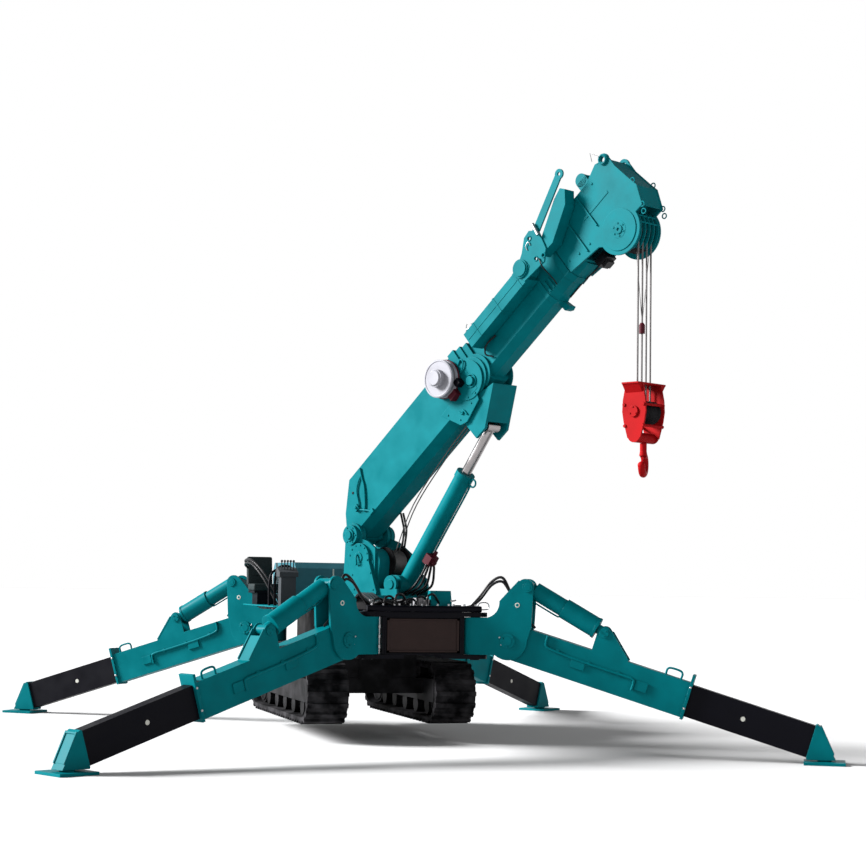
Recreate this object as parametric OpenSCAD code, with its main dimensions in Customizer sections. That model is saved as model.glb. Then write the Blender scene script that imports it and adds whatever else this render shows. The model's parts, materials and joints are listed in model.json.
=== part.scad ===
// Crawler crane on four deployed outriggers
// Millimetres, +Z up, front towards -Y, ground under the pads at Z = 0

/* [Outrigger base] */
// half length of the outrigger base over the pads
base_half = 3715; // [3600:5:3900]
// front swing pins, distance from the centre plane
front_pin_x = 507; // [480:1:530]
// rear swing pins, distance from the centre plane
rear_pin_x = 601; // [580:1:620]
// front legs, angle forward of straight sideways
front_swing = 27.6; // [22:0.1:34]
// rear legs, angle rearward of straight sideways
rear_swing = 37.3; // [32:0.1:42]

/* [Outrigger legs] */
// downward slope of the arm
arm_slope = 17; // [15:0.5:18]
// arm pivot, distance from the swing pin
pivot_r = 320; // [310:1:335]
// height of the arm box
arm_h = 320; // [310:2:330]
// width of the arm box
arm_w = 160; // [156:1:170]
// wall of the arm box
arm_wall = 10; // [8:0.5:12]
// length of the arm from its pivot
arm_len = 1696; // [1640:2:1750]
// clearance of the extension in the arm on each side
slide_gap = 6; // [5:0.5:8]
// length of the extension that shows outside the arm
ext_out = 1120; // [1080:5:1160]
// length of the extension that stays inside the arm
ext_in = 410; // [380:5:430]
// travel of the extension into the arm
ext_travel = 940; // [900:5:960]
// side of the square ground pad
pad_side = 360; // [320:5:400]
// thickness of the ground pad
pad_t = 25; // [20:1:35]
// bracket cheek thickness
cheek_t = 25; // [20:1:30]
// swing pin radius
swing_pin_r = 45; // [40:1:50]
// arm pivot pin radius
pivot_pin_r = 40; // [35:1:45]
// cylinder pin radius
cyl_pin_r = 30; // [25:1:34]
// upper cylinder pin, distance from the swing pin
cyl_top_r = 497; // [490:1:505]
// upper cylinder pin, height above the arm pivot
cyl_top_h = 487; // [480:1:495]
// lower cylinder pin, distance along the arm
lug_s = 806; // [796:1:816]
// lower cylinder pin, height above the arm's middle line
lug_n = 338; // [330:1:346]
// outrigger cylinder barrel radius
leg_barrel_r = 80; // [74:1:82]
// outrigger cylinder rod radius
leg_rod_r = 45; // [40:1:48]

/* [Chassis] */
// width of the chassis box
frame_w = 720; // [680:5:760]
// underside of the chassis box
frame_z = 885; // [880:1:890]
// height of the chassis box
frame_h = 345; // [340:1:350]
// thickness of the lower corner plate
low_plate_t = 35; // [30:1:40]
// thickness of the upper corner plate
top_plate_t = 40; // [35:1:45]
// radius of the corner plates round the swing pins
corner_r = 110; // [105:1:115]
// thickness of the deck plate
deck_t = 12; // [8:1:20]

/* [Tracks] */
// track shoe width
shoe_w = 400; // [360:5:420]
// distance between the track middles
gauge = 1260; // [1240:5:1280]
// overall track length
track_l = 2850; // [2750:10:2950]
// overall track height
track_h = 600; // [580:5:610]
// height of the track above the ground
track_z = 170; // [150:5:180]
// middle of the track along the machine
track_y = 345; // [320:5:370]
// thickness of the track belt
belt_t = 38; // [32:1:45]
// height of a shoe rib
rib_h = 26; // [20:1:32]
// number of shoes
shoes = 58; // [48:1:64]

/* [Turret] */
// slewing axis along the machine
slew_y = -670; // [-700:5:-640]
// boom direction to the right of straight ahead
boom_az = 30; // [0:1:45]
// slewing ring radius
ring_r = 340; // [320:5:350]
// slewing ring height
ring_h = 95; // [85:1:100]
// turret side plate thickness
turret_t = 25; // [20:1:30]
// winch drum radius
drum_r = 105; // [95:1:115]
// winch drum flange radius
drum_flange_r = 150; // [140:1:155]
// winch drum axis in front of the slewing axis
drum_e = 40; // [30:1:45]
// winch drum axis height
drum_z = 1725; // [1715:1:1735]

/* [Boom] */
// boom foot pin behind the slewing axis
foot_back = 224; // [215:1:232]
// boom foot pin height
foot_z = 1987; // [1975:1:2000]
// boom elevation
boom_el = 40.2; // [30:0.1:50]
// width of the base section
boom_w = 380; // [370:2:390]
// top of the base section above the foot pin line
boom_top = 480; // [470:2:490]
// depth of the bevelled bottom
bevel_d = 60; // [50:1:65]
// wall of the boom sections
boom_wall = 10; // [8:0.5:12]
// gap between nested sections
nest_gap = 8; // [6:0.5:10]
// step of the section bottoms
nest_low = 26; // [24:1:28]
// front end of the base section
base_end = 2100; // [2060:5:2140]
// length of a section collar
collar_l = 70; // [60:1:80]
// end of the tip section
tip_end = 3700; // [3660:5:3740]
// head sheave axis in front of the end of the tip section
sheave_s = 470; // [450:5:490]
// head sheave axis below the foot pin line
sheave_drop = 45; // [40:1:50]
// head sheave radius at the rim
sheave_r = 180; // [175:1:185]
// luff cylinder pin along the boom
lug_boom_s = 1870; // [1850:5:1890]
// luff cylinder pin below the foot pin line
lug_boom_drop = 262; // [258:1:270]
// luff cylinder foot in front of the slewing axis
luff_e = 300; // [295:1:310]
// luff cylinder foot height
luff_z = 1515; // [1505:1:1525]
// luff cylinder barrel radius
luff_r = 85; // [80:1:88]
// luff cylinder rod radius
luff_rod_r = 48; // [44:1:52]

/* [Hook] */
// wire rope radius
rope_r = 8; // [6:0.5:9]
// top of the hook block above the ground
block_top = 3290; // [3240:5:3330]
// height of the hook block
block_h = 520; // [500:5:560]
// turn of the hook about its shank
hook_turn = 117; // [0:1:180]
// spacing of the rope falls
fall_pitch = 60; // [56:1:64]

/* [Hidden] */
$fn = 64;
fit = 0.3;
sheave_side = 16;
big = 9000;
foot_set = 118;
leg_reach = pivot_r + (arm_len + ext_out) * cos(arm_slope) + foot_set;
legs = [[-1, -1], [1, -1], [-1, 1], [1, 1]];
function swing(l) = l[1] < 0 ? front_swing : rear_swing;
function pad_ext(a) = pad_side / 2 * (cos(a) + sin(a));
function pin_x(l) = l[1] < 0 ? front_pin_x : rear_pin_x;
function pin_y(l) = base_half - leg_reach * sin(swing(l)) - pad_ext(swing(l));
function leg_dir(l) = l[0] > 0 ? l[1] * swing(l) : 180 - l[1] * swing(l);
front_y = pin_y([1, -1]);
rear_y = pin_y([1, 1]);
frame_top = frame_z + frame_h;
deck_top = frame_top + top_plate_t;
arm_end_z = pad_t + 172;
pivot_z = arm_end_z + (arm_len + ext_out) * sin(arm_slope);
ext_h = arm_h - 2 * arm_wall - 2 * slide_gap;
ext_w = arm_w - 2 * arm_wall - 2 * slide_gap - 3;
cheek_in = arm_w / 2 + slide_gap;
cheek_out = cheek_in + cheek_t;
cyl_top_z = pivot_z + cyl_top_h;
lug_r = pivot_r + lug_s * cos(arm_slope) + lug_n * sin(arm_slope);
lug_z = pivot_z - lug_s * sin(arm_slope) + lug_n * cos(arm_slope);
cyl_l = sqrt(pow(lug_r - cyl_top_r, 2) + pow(lug_z - cyl_top_z, 2));
cyl_slope = atan2(cyl_top_z - lug_z, lug_r - cyl_top_r);
lug_wall = 10;
bracket_r = arm_h / 2 + 15;
peak_r = 56;
lug_in = arm_w / 2 - lug_wall;
barrel_end = cyl_l - 90 - 280;
sleeve_in = leg_barrel_r + slide_gap;
sleeve_out = sleeve_in + 8;
ring_z = deck_top + deck_t;
turret_z = ring_z + ring_h;
turret_in = boom_w / 2 + 7;
turret_out = turret_in + turret_t;
nest = boom_wall + nest_gap;
lug_pe = -foot_back + lug_boom_s * cos(boom_el) + lug_boom_drop * sin(boom_el);
lug_pz = foot_z + lug_boom_s * sin(boom_el) - lug_boom_drop * cos(boom_el);
luff_l = sqrt(pow(lug_pe - luff_e, 2) + pow(lug_pz - luff_z, 2));
luff_a = atan2(lug_pz - luff_z, lug_pe - luff_e);
groove_r = sheave_r - 24;
hang_e = groove_r + rope_r + fit;
tip_w = boom_w - 6 * nest;
head_w = max(tip_w, 4 * fall_pitch + 2 * sheave_side);
ear_s = 749;
sheave_at = tip_end + sheave_s;
ear_at = tip_end + ear_s;
ear_up = 567;
hang_x = -foot_back + sheave_at * cos(boom_el) + sheave_drop * sin(boom_el);
hang_z = foot_z + sheave_at * sin(boom_el) - sheave_drop * cos(boom_el);
lug_front_a = atan2(lug_n + 41 - arm_h / 2, 46 - 286);

/* [Nodes] */

// Placing frames

module at_leg(l) {
  translate([l[0] * pin_x(l), l[1] * pin_y(l), 0])
    rotate([0, 0, leg_dir(l)])
      children();
}

module at_arm() {
  translate([pivot_r, 0, pivot_z])
    rotate([0, arm_slope, 0])
      children();
}

module at_leg_cylinder() {
  translate([cyl_top_r, 0, cyl_top_z])
    rotate([0, cyl_slope, 0])
      children();
}

module at_turret() {
  translate([0, slew_y, 0])
    rotate([0, 0, boom_az - 90])
      children();
}

module at_boom() {
  at_turret()
    translate([-foot_back, 0, foot_z])
      rotate([0, -boom_el, 0])
        children();
}

module at_luff() {
  at_turret()
    translate([luff_e, 0, luff_z])
      rotate([0, -luff_a, 0])
        children();
}

// hanging frame: head sheave axis, upright
module at_hang() {
  at_turret()
    translate([hang_x, 0, hang_z])
      children();
}

// Helpers

// profile drawn in the X-Z plane, thick across Y between y0 and y1
module slab(y0, y1) {
  translate([0, y1, 0])
    rotate([90, 0, 0])
      linear_extrude(height = y1 - y0)
        children();
}

// profile drawn in the X-Z plane, mirrored pair of plates
module pair(y0, y1) {
  slab(y0, y1) children();
  slab(-y1, -y0) children();
}

// cylinder along Y, centred
module across(r, w) {
  rotate([90, 0, 0])
    cylinder(r = r, h = w, center = true);
}

// cylinder along X from x0 to x1
module along(r, x0, x1) {
  translate([x0, 0, 0])
    rotate([0, 90, 0])
      cylinder(r = r, h = x1 - x0);
}

// Outrigger pieces, each in the leg frame

module bracket_profile() {
  difference() {
    polygon([[0, frame_z + 5], [0, frame_top - 5], [corner_r + 10, frame_top - 5],
      [corner_r + 10, frame_top + 20], [cyl_top_r - 82, cyl_top_z + 60], [cyl_top_r, cyl_top_z],
      [cyl_top_r + peak_r, cyl_top_z], [cyl_top_r + peak_r - 20, pivot_z + 120],
      [pivot_r + bracket_r, pivot_z], [pivot_r, pivot_z], [pivot_r, frame_z + 5]]);
    translate([corner_r - 10, frame_top + 135])
      circle(r = 140);
  }
  translate([cyl_top_r - 20, cyl_top_z])
    circle(r = peak_r + 20);
  translate([pivot_r, pivot_z])
    circle(r = bracket_r);
}

module bracket() {
  color("teal")
    difference() {
      union() {
        pair(cheek_in, cheek_out)
          bracket_profile();
        translate([0, 0, frame_z + 5])
          cylinder(r = cheek_out, h = frame_h - 10);
        slab(-cheek_in, cheek_in)
          intersection() {
            bracket_profile();
            translate([0, frame_z])
              square([corner_r + 12, frame_h]);
          }
        slab(-cheek_in, cheek_in)
          difference() {
            bracket_profile();
            translate([24, -18])
              bracket_profile();
            translate([-big, -big])
              square([big + corner_r, 2 * big]);
            translate([-big, -big])
              square([2 * big, big + frame_top - 6]);
            translate([cyl_top_r - 110, -big])
              square([big, 2 * big]);
          }
        translate([pivot_r, 0, pivot_z])
          across(pivot_pin_r, 2 * cheek_out + 30);
        translate([cyl_top_r, 0, cyl_top_z])
          across(cyl_pin_r, 2 * cheek_out + 20);
      }
      cylinder(r = swing_pin_r + fit, h = big);
    }
}

module arm() {
  color("teal")
    at_arm() {
      difference() {
        union() {
          slab(-arm_w / 2, arm_w / 2) {
            circle(r = arm_h / 2, $fn = 96);
            translate([0, -arm_h / 2])
              square([arm_len, arm_h]);
          }
          translate([arm_len - 25, -arm_w / 2 - 18, -arm_h / 2 - 15])
            cube([25, arm_w + 36, arm_h + 90]);
          pair(lug_in, lug_in + lug_wall)
            lug_profile();
          slab(-lug_in, lug_in)
            intersection() {
              lug_profile();
              translate([lug_s + 286, arm_h / 2 - 1])
                rotate([0, 0, lug_front_a])
                  square([245, 13]);
            }
          pair(lug_in + lug_wall - 1, lug_in + lug_wall + 12)
            translate([lug_s, lug_n])
              circle(r = 44);
        }
        translate([arm_len - ext_in - ext_travel - 20, -arm_w / 2 + arm_wall, -arm_h / 2 + arm_wall])
          cube([ext_in + ext_travel - 40, arm_w - 2 * arm_wall, arm_h - 2 * arm_wall]);
        translate([arm_len - 61, -ext_w / 2 - fit, -ext_h / 2 - fit])
          cube([62, ext_w + 2 * fit, ext_h + 2 * fit]);
        across(pivot_pin_r + fit, big);
      }
    }
}

module lug_profile() {
  polygon([[lug_s - 60, arm_h / 2 - 1], [lug_s + 286, arm_h / 2 - 1], [lug_s + 46, lug_n + 40],
    [lug_s, lug_n], [lug_s - 58, lug_n + 8]]);
  translate([lug_s, lug_n])
    circle(r = 60);
}

module ext() {
  color("black")
    at_arm()
      difference() {
        translate([arm_len - ext_in, -ext_w / 2, -ext_h / 2])
          cube([ext_in + ext_out, ext_w, ext_h]);
        translate([arm_len - ext_in - 1, -ext_w / 2 + 10, -ext_h / 2 + 12])
          cube([ext_in + ext_out - 30, ext_w - 20, ext_h - 24]);
        translate([arm_len + 0.45 * ext_out, 0, 0])
          across(22, big);
      }
}

module foot() {
  foot_r = pivot_r + (arm_len + ext_out) * cos(arm_slope);
  color("teal")
    difference() {
      slab(-arm_w / 2, arm_w / 2)
        polygon([[foot_r - 40, pad_t + 14], [foot_r - 45, pad_t + 34], [foot_r - 4, arm_end_z + 132],
          [foot_r + 60, arm_end_z + 150], [foot_r + 84, arm_end_z + 132], [leg_reach + 72, pad_t + 62],
          [leg_reach + 96, pad_t + 14]]);
      pair(arm_w / 2 - 62, arm_w / 2 - 18)
        polygon([[foot_r + 96, arm_end_z + 140], [foot_r + 150, arm_end_z + 140],
          [leg_reach + 110, pad_t + 66], [leg_reach + 56, pad_t + 66]]);
      at_arm()
        translate([-big, -big / 2, -big / 2])
          cube([big + arm_len + ext_out + fit, big, big]);
    }
  color("dimgray") {
    translate([leg_reach - pad_side / 2, -pad_side / 2, 0])
      cube([pad_side, pad_side, pad_t]);
    translate([leg_reach, 0, pad_t - 1])
      cylinder(r = 62, h = 15 - fit);
  }
}

module leg_barrel() {
  color("teal")
    at_leg_cylinder()
      difference() {
        union() {
          across(cyl_pin_r + 24, 2 * cheek_in - 10);
          along(cyl_pin_r + 22, 0, 80);
          along(leg_barrel_r, 62, barrel_end);
        }
        across(cyl_pin_r + fit, big);
        along(leg_rod_r + 12, 105, barrel_end - 17);
        along(leg_rod_r + fit, barrel_end - 18, barrel_end + 5);
      }
}

module leg_rod() {
  color("teal")
    at_leg_cylinder() {
      along(leg_rod_r, 385, cyl_l - 20);
      translate([cyl_l, 0, 0])
        across(48, 2 * lug_in - 14);
      difference() {
        union() {
          along(sleeve_out, cyl_l - 430, cyl_l - 76);
          along(sleeve_out + 5, cyl_l - 100, cyl_l - 76);
        }
        along(sleeve_in, cyl_l - 431, cyl_l - 90);
      }
    }
}

// Chassis pieces

module corner_plate(t) {
  linear_extrude(height = t)
    for (l = legs) {
      translate([l[0] * pin_x(l), l[1] * pin_y(l)])
        circle(r = corner_r);
      polygon([[l[0] * (pin_x(l) + 0.6 * corner_r), l[1] * (pin_y(l) - 0.8 * corner_r)],
        [l[0] * (pin_x(l) - 0.6 * corner_r), l[1] * (pin_y(l) + 0.8 * corner_r)],
        [l[0] * frame_w / 4, l[1] * (pin_y(l) + 60)],
        [l[0] * frame_w / 4, l[1] * (pin_y(l) - 700)],
        [l[0] * frame_w / 2, l[1] * (pin_y(l) - 620)]]);
    }
}

module chassis() {
  color("dimgray") {
    difference() {
      translate([-frame_w / 2, -front_y - 60, frame_z])
        cube([frame_w, front_y + rear_y + 120, frame_h]);
      translate([-frame_w / 2 + 14, -front_y - 61, frame_z + 14])
        cube([frame_w - 28, 61, frame_h - 28]);
      translate([-frame_w / 2 + 14, -front_y + 14, frame_z + 14])
        cube([frame_w - 28, front_y + rear_y - 28, frame_h - 28]);
    }
    for (sx = [-1, 1])
      translate([sx * (frame_w / 2 + 11) - 15, -front_y - 55, frame_z - 5])
        cube([30, 110, frame_h + 10]);
    translate([0, 0, frame_z - low_plate_t])
      corner_plate(low_plate_t);
    translate([0, 0, frame_top])
      corner_plate(top_plate_t);
    for (l = legs)
      translate([l[0] * pin_x(l), l[1] * pin_y(l), frame_z - low_plate_t - 12])
        cylinder(r = swing_pin_r, h = deck_top - frame_z + low_plate_t + 24);
    translate([-frame_w / 2, -front_y - 60, frame_top])
      cube([frame_w, 660, top_plate_t]);
    translate([-frame_w / 2, rear_y - 620, frame_top])
      cube([frame_w, 680, top_plate_t]);
    translate([0, slew_y, frame_top])
      cylinder(r = ring_r + 20, h = top_plate_t);
    translate([-frame_w / 2, slew_y - 300, frame_top])
      cube([frame_w, rear_y - slew_y, top_plate_t]);
  }
}

module deck() {
  back = rear_y - 100;
  color("teal")
    translate([0, 0, deck_top])
      linear_extrude(height = deck_t)
        difference() {
          polygon([[-1000, slew_y + 500], [-940, slew_y + 440], [-520, slew_y + ring_r + 80],
            [520, slew_y + ring_r + 80], [650, slew_y + 560], [650, back], [-940, back], [-1000, back - 60]]);
          translate([0, slew_y])
            circle(r = ring_r + 60);
        }
}

module slew_ring() {
  color("gray")
    translate([0, slew_y, deck_top]) {
      cylinder(r = ring_r, h = deck_t + ring_h - fit);
    }
}

module track_outline(d) {
  r = track_h / 2 - rib_h + d;
  half = track_l / 2 - track_h / 2;
  translate([-half, 0])
    circle(r = r, $fn = 96);
  translate([half, 0])
    circle(r = r, $fn = 96);
  translate([-half, -r])
    square([2 * half, 2 * r]);
}

module track() {
  half = track_l / 2 - track_h / 2;
  r = track_h / 2 - rib_h;
  run = 2 * half;
  turn = PI * r;
  pitch = (2 * run + 2 * turn) / shoes;
  color("dimgray")
    slab(-shoe_w / 2, shoe_w / 2)
      difference() {
        union() {
          track_outline(0);
          for (i = [0:shoes - 1]) {
            s = i * pitch;
            if (s < run)
              translate([-half + s, r - 2])
                square([pitch * 0.42, rib_h + 2]);
            if (s >= run && s < run + turn)
              translate([half, 0])
                rotate([0, 0, 90 - (s - run) / r * 180 / PI])
                  translate([r - 2, -pitch * 0.21])
                    square([rib_h + 2, pitch * 0.42]);
            if (s >= run + turn && s < 2 * run + turn)
              translate([half - (s - run - turn) - pitch * 0.42, -r - rib_h])
                square([pitch * 0.42, rib_h + 2]);
            if (s >= 2 * run + turn)
              translate([-half, 0])
                rotate([0, 0, 270 - (s - 2 * run - turn) / r * 180 / PI])
                  translate([r - 2, -pitch * 0.21])
                    square([rib_h + 2, pitch * 0.42]);
          }
        }
        track_outline(-belt_t);
      }
}

module place_track(sx) {
  translate([sx * gauge / 2, track_y, track_z + track_h / 2])
    rotate([0, 0, 90])
      children();
}

module undercarriage() {
  half = track_l / 2 - track_h / 2;
  r = track_h / 2 - rib_h - belt_t - fit;
  color("dimgray") {
    for (sx = [-1, 1])
      place_track(sx) {
        for (x = [-half, half])
          translate([x, 0, 0])
            across(r, shoe_w * 0.55);
        for (i = [-2:2])
          translate([i * half * 0.36, 0, -r + 85])
            across(85, shoe_w * 0.6);
        for (x = [-0.4 * half, 0.4 * half])
          translate([x, 0, r - 55])
            across(55, shoe_w * 0.5);
        translate([-half, -shoe_w * 0.36, -0.42 * r])
          cube([2 * half, shoe_w * 0.72, 0.95 * r]);
      }
    for (y = [-0.55 * half, 0.55 * half])
      translate([-gauge / 2, track_y + y - 130, track_z + track_h / 2 - 30])
        cube([gauge, 260, 150]);
    for (y = [-0.55 * half, 0.55 * half])
      translate([-frame_w / 4 + 10, track_y + y - 130, track_z + track_h / 2 + 90])
        cube([frame_w / 2 - 20, 260, frame_z - track_z - track_h / 2 - 90 - fit]);
    for (y = [-0.55 * half, 0.55 * half])
      translate([-420, track_y + y - 120, track_z + track_h / 2 + 100])
        cube([840, 240, frame_z - low_plate_t - fit - track_z - track_h / 2 - 100]);
  }
}

module hood() {
  hx = 610;
  hy = rear_y - 40;
  hl = 1150;
  hh = 440;
  color("slategray")
    difference() {
      translate([0, hy - hl, ring_z])
        slabx(-660, hx)
          polygon([[0, 0], [0, hh - 60], [60, hh], [hl - 90, hh], [hl, hh - 90], [hl, 0]]);
      translate([0, hy - hl, ring_z])
        slabx(-646, hx - 14)
          polygon([[14, -1], [14, hh - 66], [66, hh - 14], [hl - 96, hh - 14], [hl - 14, hh - 96],
            [hl - 14, -1]]);
    }
}

// profile drawn in the Y-Z plane, thick along X between x0 and x1
module slabx(x0, x1) {
  translate([x0, 0, 0])
    rotate([90, 0, 90])
      linear_extrude(height = x1 - x0)
        children();
}

module engine() {
  color("darkgray")
    translate([-200, rear_y - 1050, ring_z])
      cube([640, 850, 330]);
}

module seat() {
  color("dimgray") {
    translate([-935, rear_y - 590, ring_z])
      cube([170, 270, 120]);
    translate([-980, rear_y - 620, ring_z + 119])
      slabx(0, 270)
        polygon([[0, 20], [0, 70], [40, 100], [330, 74], [350, 40], [330, 0], [30, 0]]);
    translate([-980, rear_y - 286, ring_z + 172])
      slabx(0, 270)
        polygon([[-20, 22], [44, 310], [70, 340], [112, 330], [74, 30], [40, 0]]);
  }
}

module console() {
  color("silver")
    translate([-910, slew_y + 560, ring_z]) {
      cube([150, 130, 290]);
      translate([-20, -20, 289])
        slabx(0, 190)
          polygon([[0, 0], [0, 46], [150, 96], [170, 80], [170, 0]]);
      for (i = [0:4])
        translate([15 + i * 30, 70, 350])
          rotate([8, 0, 0]) {
            cylinder(r = 6, h = 96);
            translate([0, 0, 96])
              sphere(r = 13);
          }
    }
}

module valve_gear() {
  color("dimgray")
    translate([0, -front_y, deck_top]) {
      translate([0, -80, 30])
        along(28, -537, 537);
      for (x = [-330, -110, 110, 330])
        translate([x - 20, -90, 0])
          cube([40, 100, 24]);
      translate([-340, 5, 0])
        cube([680, 80, 44]);
      translate([-60, -8, 20])
        cube([120, 96, 96]);
      translate([-300, 15, 43])
        cube([200, 60, 40]);
      for (i = [0:5])
        translate([-288 + i * 36, 45, 82])
          cylinder(r = 13, h = 34);
      translate([90, 10, 40])
        slabx(0, 190)
          polygon([[0, 0], [0, 50], [34, 150], [96, 150], [120, 60], [120, 0]]);
    }
}

// Turret pieces

module turret_profile() {
  polygon([[-300, turret_z], [-345, turret_z + 210], [-foot_back - 105, foot_z - 60], [-foot_back, foot_z],
    [-foot_back + 108, foot_z - 30], [-10, drum_z + 200], [drum_e + 120, drum_z + 90], [drum_e + 140, drum_z - 60],
    [luff_e + 40, luff_z + 85], [luff_e + 90, luff_z], [luff_e + 95, turret_z]]);
  translate([-foot_back, foot_z])
    circle(r = 118);
  translate([luff_e, luff_z])
    circle(r = 88);
}

// the left plate is cut down in front of the gear case
module left_profile() {
  difference() {
    turret_profile();
    difference() {
      polygon([[drum_e + 50, foot_z], [drum_e + 50, luff_z + 55], [luff_e - 150, luff_z - 45],
        [luff_e + 150, luff_z - 45], [luff_e + 150, foot_z]]);
      translate([luff_e, luff_z])
        circle(r = 84);
    }
  }
}

// side view of the winch gear cover
module cover_profile() {
  translate([-108, 1768])
    circle(r = 140);
  polygon([[-246, 1745], [-190, 1440], [-150, turret_z + 20], [140, turret_z], [146, 1440], [30, 1745]]);
}

module turret() {
  color("teal")
    at_turret()
      difference() {
        union() {
          slab(turret_in, turret_out)
            turret_profile();
          slab(-turret_out, -turret_in)
            left_profile();
          slab(-turret_out - 32, -turret_out + 1)
            cover_profile();
          slab(-turret_out - 40, -turret_out - 31)
            translate([-108, 1768])
              circle(r = 52);
          slab(-turret_in - 1, -60) {
            translate([drum_e - 45, drum_z])
              circle(r = 135);
            polygon([[drum_e - 178, turret_z + 20], [drum_e - 178, drum_z], [drum_e + 88, drum_z],
              [drum_e + 70, turret_z + 20]]);
          }
          translate([0, 0, turret_z])
            cylinder(r = ring_r, h = 30);
          translate([-310, -turret_in - 1, turret_z])
            cube([40, 2 * turret_in + 2, 330]);
          translate([-foot_back, 0, foot_z])
            across(50, 2 * turret_out + 60);
          pair(turret_out - 1, turret_out + 44)
            translate([-foot_back, foot_z])
              circle(r = 98);
          pair(turret_out + 43, turret_out + 58)
            translate([-foot_back, foot_z])
              circle(r = 60);
          translate([luff_e, 0, luff_z])
            across(45, 2 * turret_out + 20);
          translate([drum_e, 0, drum_z])
            across(32, 2 * turret_out + 10);
        }
        translate([0, 0, ring_z - 1])
          cylinder(r = 90, h = 120);
      }
}

module winch_drum() {
  color("dimgray")
    at_turret()
      translate([drum_e, 0, drum_z])
        difference() {
          union() {
            slab(-50, turret_in - 8)
              circle(r = drum_r);
            slab(-50, -34)
              circle(r = drum_flange_r);
            slab(turret_in - 26, turret_in - 8)
              circle(r = drum_flange_r);
          }
          across(32 + fit, big);
        }
}

// Boom pieces, each in the boom frame

module section(i, d) {
  w = boom_w / 2 - i * nest + d;
  top = boom_top - i * nest + d;
  low = 15 + i * nest_low - d;
  polygon([[-w, top], [w, top], [w, low], [w / 2, low - bevel_d], [-w / 2, low - bevel_d], [-w, low]]);
}

// box tube along the boom between two stations
module run(i, d, s0, s1) {
  translate([s0, 0, 0])
    rotate([90, 0, 90])
      linear_extrude(height = s1 - s0)
        section(i, d);
}

module boom_base() {
  color("teal")
    at_boom()
      difference() {
        union() {
          intersection() {
            run(0, 0, -108, base_end);
            slab(-big, big)
              polygon([[-108, -200], [-108, 40], [30, 255], [275, boom_top], [base_end, boom_top],
                [base_end, -200]]);
          }
          run(0, 14, base_end - 90, base_end);
          pair(boom_w / 2 - 40, boom_w / 2)
            circle(r = 112);
          pair(boom_w / 2 - 1, boom_w / 2 + 12)
            translate([base_end - 50, 150])
              circle(r = 190);
          pair(boom_w / 2 - 12, boom_w / 2 + 4)
            polygon([[1590, 120], [1720, -120], [1800, -150], [base_end - 60, -90], [base_end - 20, 60],
              [base_end - 60, 130]]);
          pair(boom_w / 2 - 55, boom_w / 2 - 25)
            lug_box_profile();
          slab(-boom_w / 2 + 54, boom_w / 2 - 54)
            difference() {
              lug_box_profile();
              translate([-14, 16])
                lug_box_profile();
              translate([-big, -big])
                square([big + lug_boom_s + 90, 2 * big]);
              translate([-big, -56])
                square([2 * big, big]);
            }
        }
        difference() {
          run(0, -boom_wall, 260, base_end + 1);
          translate([base_end - 60, -big / 2, -big / 2])
            cube([61, big, big]);
        }
        run(1, fit, base_end - 61, base_end + 1);
        across(50 + fit, big);
      }
}

// side view of the box under the base section that takes the luff cylinder
module lug_box_profile() {
  polygon([[lug_boom_s - 130, -2], [lug_boom_s - 100, -lug_boom_drop - 66], [lug_boom_s + 40, -lug_boom_drop - 66],
    [base_end + 150, -80], [base_end + 150, -72], [base_end + 40, -52], [base_end - 20, -2]]);
}

module inner(i, s0, s1) {
  w = boom_w / 2 - i * nest;
  color("teal")
    at_boom()
      difference() {
        union() {
          run(i, 0, s0, s1);
          run(i, nest - 6, base_end + fit + (i - 1) * (collar_l + fit),
            base_end + i * (collar_l + fit));
          intersection() {
            pair(w - 1, w + nest - 6)
              translate([base_end - 50 + i * 42, 150])
                circle(r = 190);
            translate([base_end + fit + (i - 1) * (collar_l + fit), -big / 2, -big / 2])
              cube([big, big, big]);
          }
        }
        difference() {
          run(i, -boom_wall, s0 - 1, s1 + 1);
          translate([s1 - 60, -big / 2, -big / 2])
            cube([61, big, big]);
        }
        run(i + 1, fit, s1 - 61, s1 + 1);
      }
}

module boom_tip() {
  color("teal")
    at_boom()
      difference() {
        union() {
          run(3, 0, 420, tip_end);
          run(3, 10, tip_end - 230, tip_end - 165);
          run(3, 8, 3190, 3235);
          slab(20, 100)
            polygon([[3180, 45], [3190, -40], [3225, -62], [3262, -52], [3250, -20], [3232, 45]]);
        }
        run(3, -boom_wall, 419, tip_end - 20);
      }
}

module head_profile() {
  polygon([[tip_end - 150, 90], [tip_end - 150, 415], [tip_end + 80, 545], [tip_end + 480, 545],
    [ear_at - 95, ear_up + 40], [ear_at, ear_up], [ear_at + 52, ear_up - 30], [ear_at + 50, 430], [ear_at + 84, 230],
    [ear_at + 106, 122], [ear_at + 36, -58], [sheave_at, -sheave_drop], [sheave_at - 130, -120],
    [tip_end + 210, 0], [tip_end - 150, 60]]);
  translate([sheave_at, -sheave_drop])
    circle(r = sheave_r + 46);
  translate([ear_at, ear_up])
    circle(r = 56);
}

// front guard of the head in side view
module guard_profile() {
  polygon([[ear_at + 36, ear_up - 30], [ear_at + 45, 432], [ear_at + 79, 230], [ear_at + 101, 122], [ear_at + 33, -53],
    [ear_at + 20, -48], [ear_at + 87, 124], [ear_at + 66, 226], [ear_at + 32, 428], [ear_at + 22, ear_up - 34]]);
}

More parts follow.
